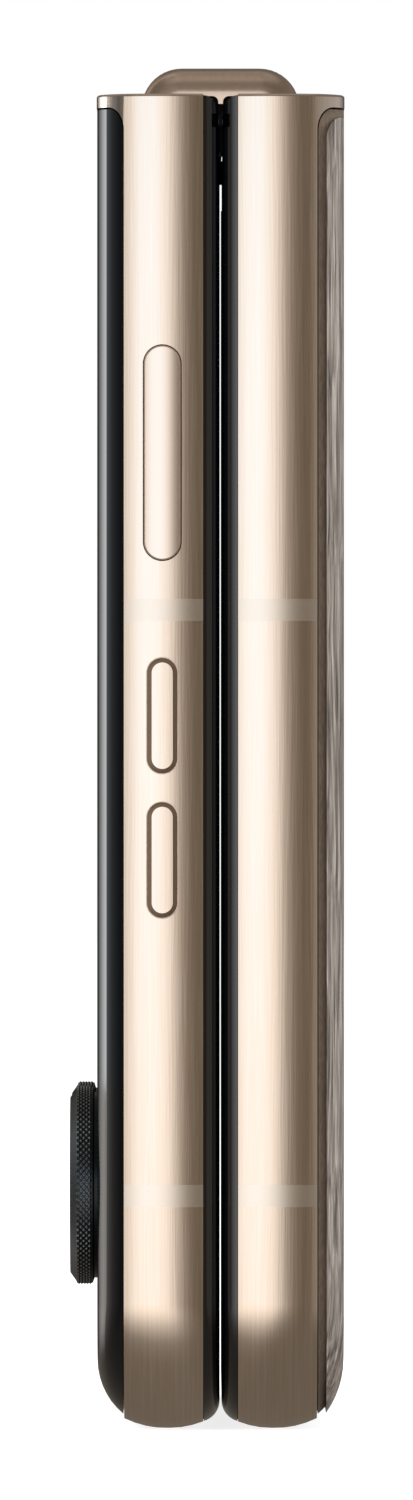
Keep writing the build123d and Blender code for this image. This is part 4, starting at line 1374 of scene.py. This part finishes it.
@dataclass
class LensBarrels:
    """Stepped barrel rings and a coated front element, seated on each lens's face.

    A profile lists (radius, rise) pairs, both as shares of the lens's radius.
    """

    barrel: tuple[Pair, ...] = (
        (0.88, -0.010), (0.88, 0.030), (0.82, 0.030), (0.80, 0.012), (0.70, 0.012), (0.68, 0.030),
        (0.63, 0.030), (0.58, 0.008), (0.47, 0.008), (0.45, 0.024), (0.42, 0.024), (0.41, -0.010))
    element: tuple[Pair, ...] = (
        (0.39, -0.010), (0.39, 0.004), (0.34, 0.020), (0.26, 0.036), (0.17, 0.046), (0.08, 0.051))
    turns: int = 96
    crease: float = 20.0

    def build(self) -> None:
        """Turn both barrels and both elements."""
        for lens in ("camera_lens_near", "camera_lens_far"):
            for kind, profile, finish in (("barrel", self.barrel, BARREL_STEPS),
                                          ("element", self.element, COATED_ELEMENT)):
                piece = self.turned(f"{lens}_{kind}", profile, *round_face(lens), finish)
                settle(piece, Half.UPPER.body, finish)

    def turned(self, name: str, profile: tuple[Pair, ...], centre: Vector, radius: float,
               finish: Finish) -> Object:
        """Turn a profile about the line of sight of a lens.

        Args:
            name: Piece's name.
            profile: Section, closed on itself for the barrel and by two flat ends for the element.
            centre: Middle of the lens's face.
            radius: Lens's radius.
            finish: Finish of the piece.

        Returns:
            The piece.
        """
        points = []
        for step in range(self.turns):
            turn = 2 * math.pi * step / self.turns
            points += [centre + Vector((r * math.cos(turn), -rise, r * math.sin(turn))) * radius
                       for r, rise in profile]
        count, capped = len(profile), profile is self.element
        faces = band_faces(self.turns, count, ring=True, open_rows=capped)
        if capped:
            faces += [tuple(range(end, len(points), count)) for end in (0, count - 1)]
        piece = closed_piece(name, points, faces, finish)
        smooth(piece.data, self.crease)
        return piece


@dataclass
class PlainNodes:
    """CAD nodes that keep their shape and get a finish."""

    nodes: dict[str, Object]

    def build(self) -> None:
        """Dress each node in its finish."""
        for finish, names in self.plan().items():
            for name in names:
                mesh = self.nodes[name].data
                mesh.materials.clear()
                mesh.materials.append(finish.material())
                LOG.info("%s: %s", name, finish.name)

    def plan(self) -> dict[Finish, tuple[str, ...]]:
        """Say which finish each node has.

        Returns:
            The names of the nodes, by finish.
        """
        geared = tuple(f"{kind}_{half.word}_{side}" for kind in ("sync_arm", "idler_gear")
                       for half in Half for side in ("left", "right"))
        return {
            SCREEN_FILM: ("screen_lower", "screen_upper", "display_fold"),
            COVER_SCREEN: ("cover_display",),
            FROSTED_WINDOW: ("flash_lens",),
            MACHINED_STEEL: geared + ("hinge_block_left", "hinge_block_right", "gear_shafts",
                                      "cam_followers", "disc_springs", "lower_screws", "upper_screws"),
            ROLLED_SHEET: ("lower_display_plate", "upper_display_plate", "lower_hinge_brackets",
                           "upper_hinge_brackets", "sim_socket", "usb_c_receptacle"),
            BLACK_HOUSING: ("camera_module_near", "camera_module_far", "front_camera", "earpiece",
                            "loudspeaker", "vibration_motor", "key_switches"),
            SOLDER_MASK: ("main_board", "sub_board"),
            TINNED_LID: ("shield_cans",),
            FOIL_POUCH: ("lower_battery", "upper_battery"),
            COPPER_WINDING: ("charging_coil",),
        }


def corners(bounds: Iterable) -> list[list[float]]:
    """Plain lists of a box's two corners."""
    return [[float(v) for v in corner] for corner in bounds]


def main() -> None:
    """Build every sub-assembly in order."""
    logging.basicConfig(level=logging.INFO, format="%(name)s: %(message)s")
    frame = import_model()
    cad_box = corners(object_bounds())
    fold_y = (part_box("lower_frame")[0].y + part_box("upper_frame")[1].y) / 2
    outline = Outline(fold_y=fold_y)
    Studio(outline).build()
    copies = SmoothCopies(frame["nodes"], outline)
    rails = SideRails(copies)
    for assembly in (rails, Bezels(copies), Covers(copies), Spine(copies), Keys(copies, rails),
                     CameraRings(copies), LensBarrels(), FlexibleScreen(fold_y), PlainNodes(frame["nodes"])):
        assembly.build()
    bpy.context.scene.view_settings.view_transform = "Standard"
    {"cad": cad_box, "visual": corners(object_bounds())}


if __name__ == "__main__":
    main()
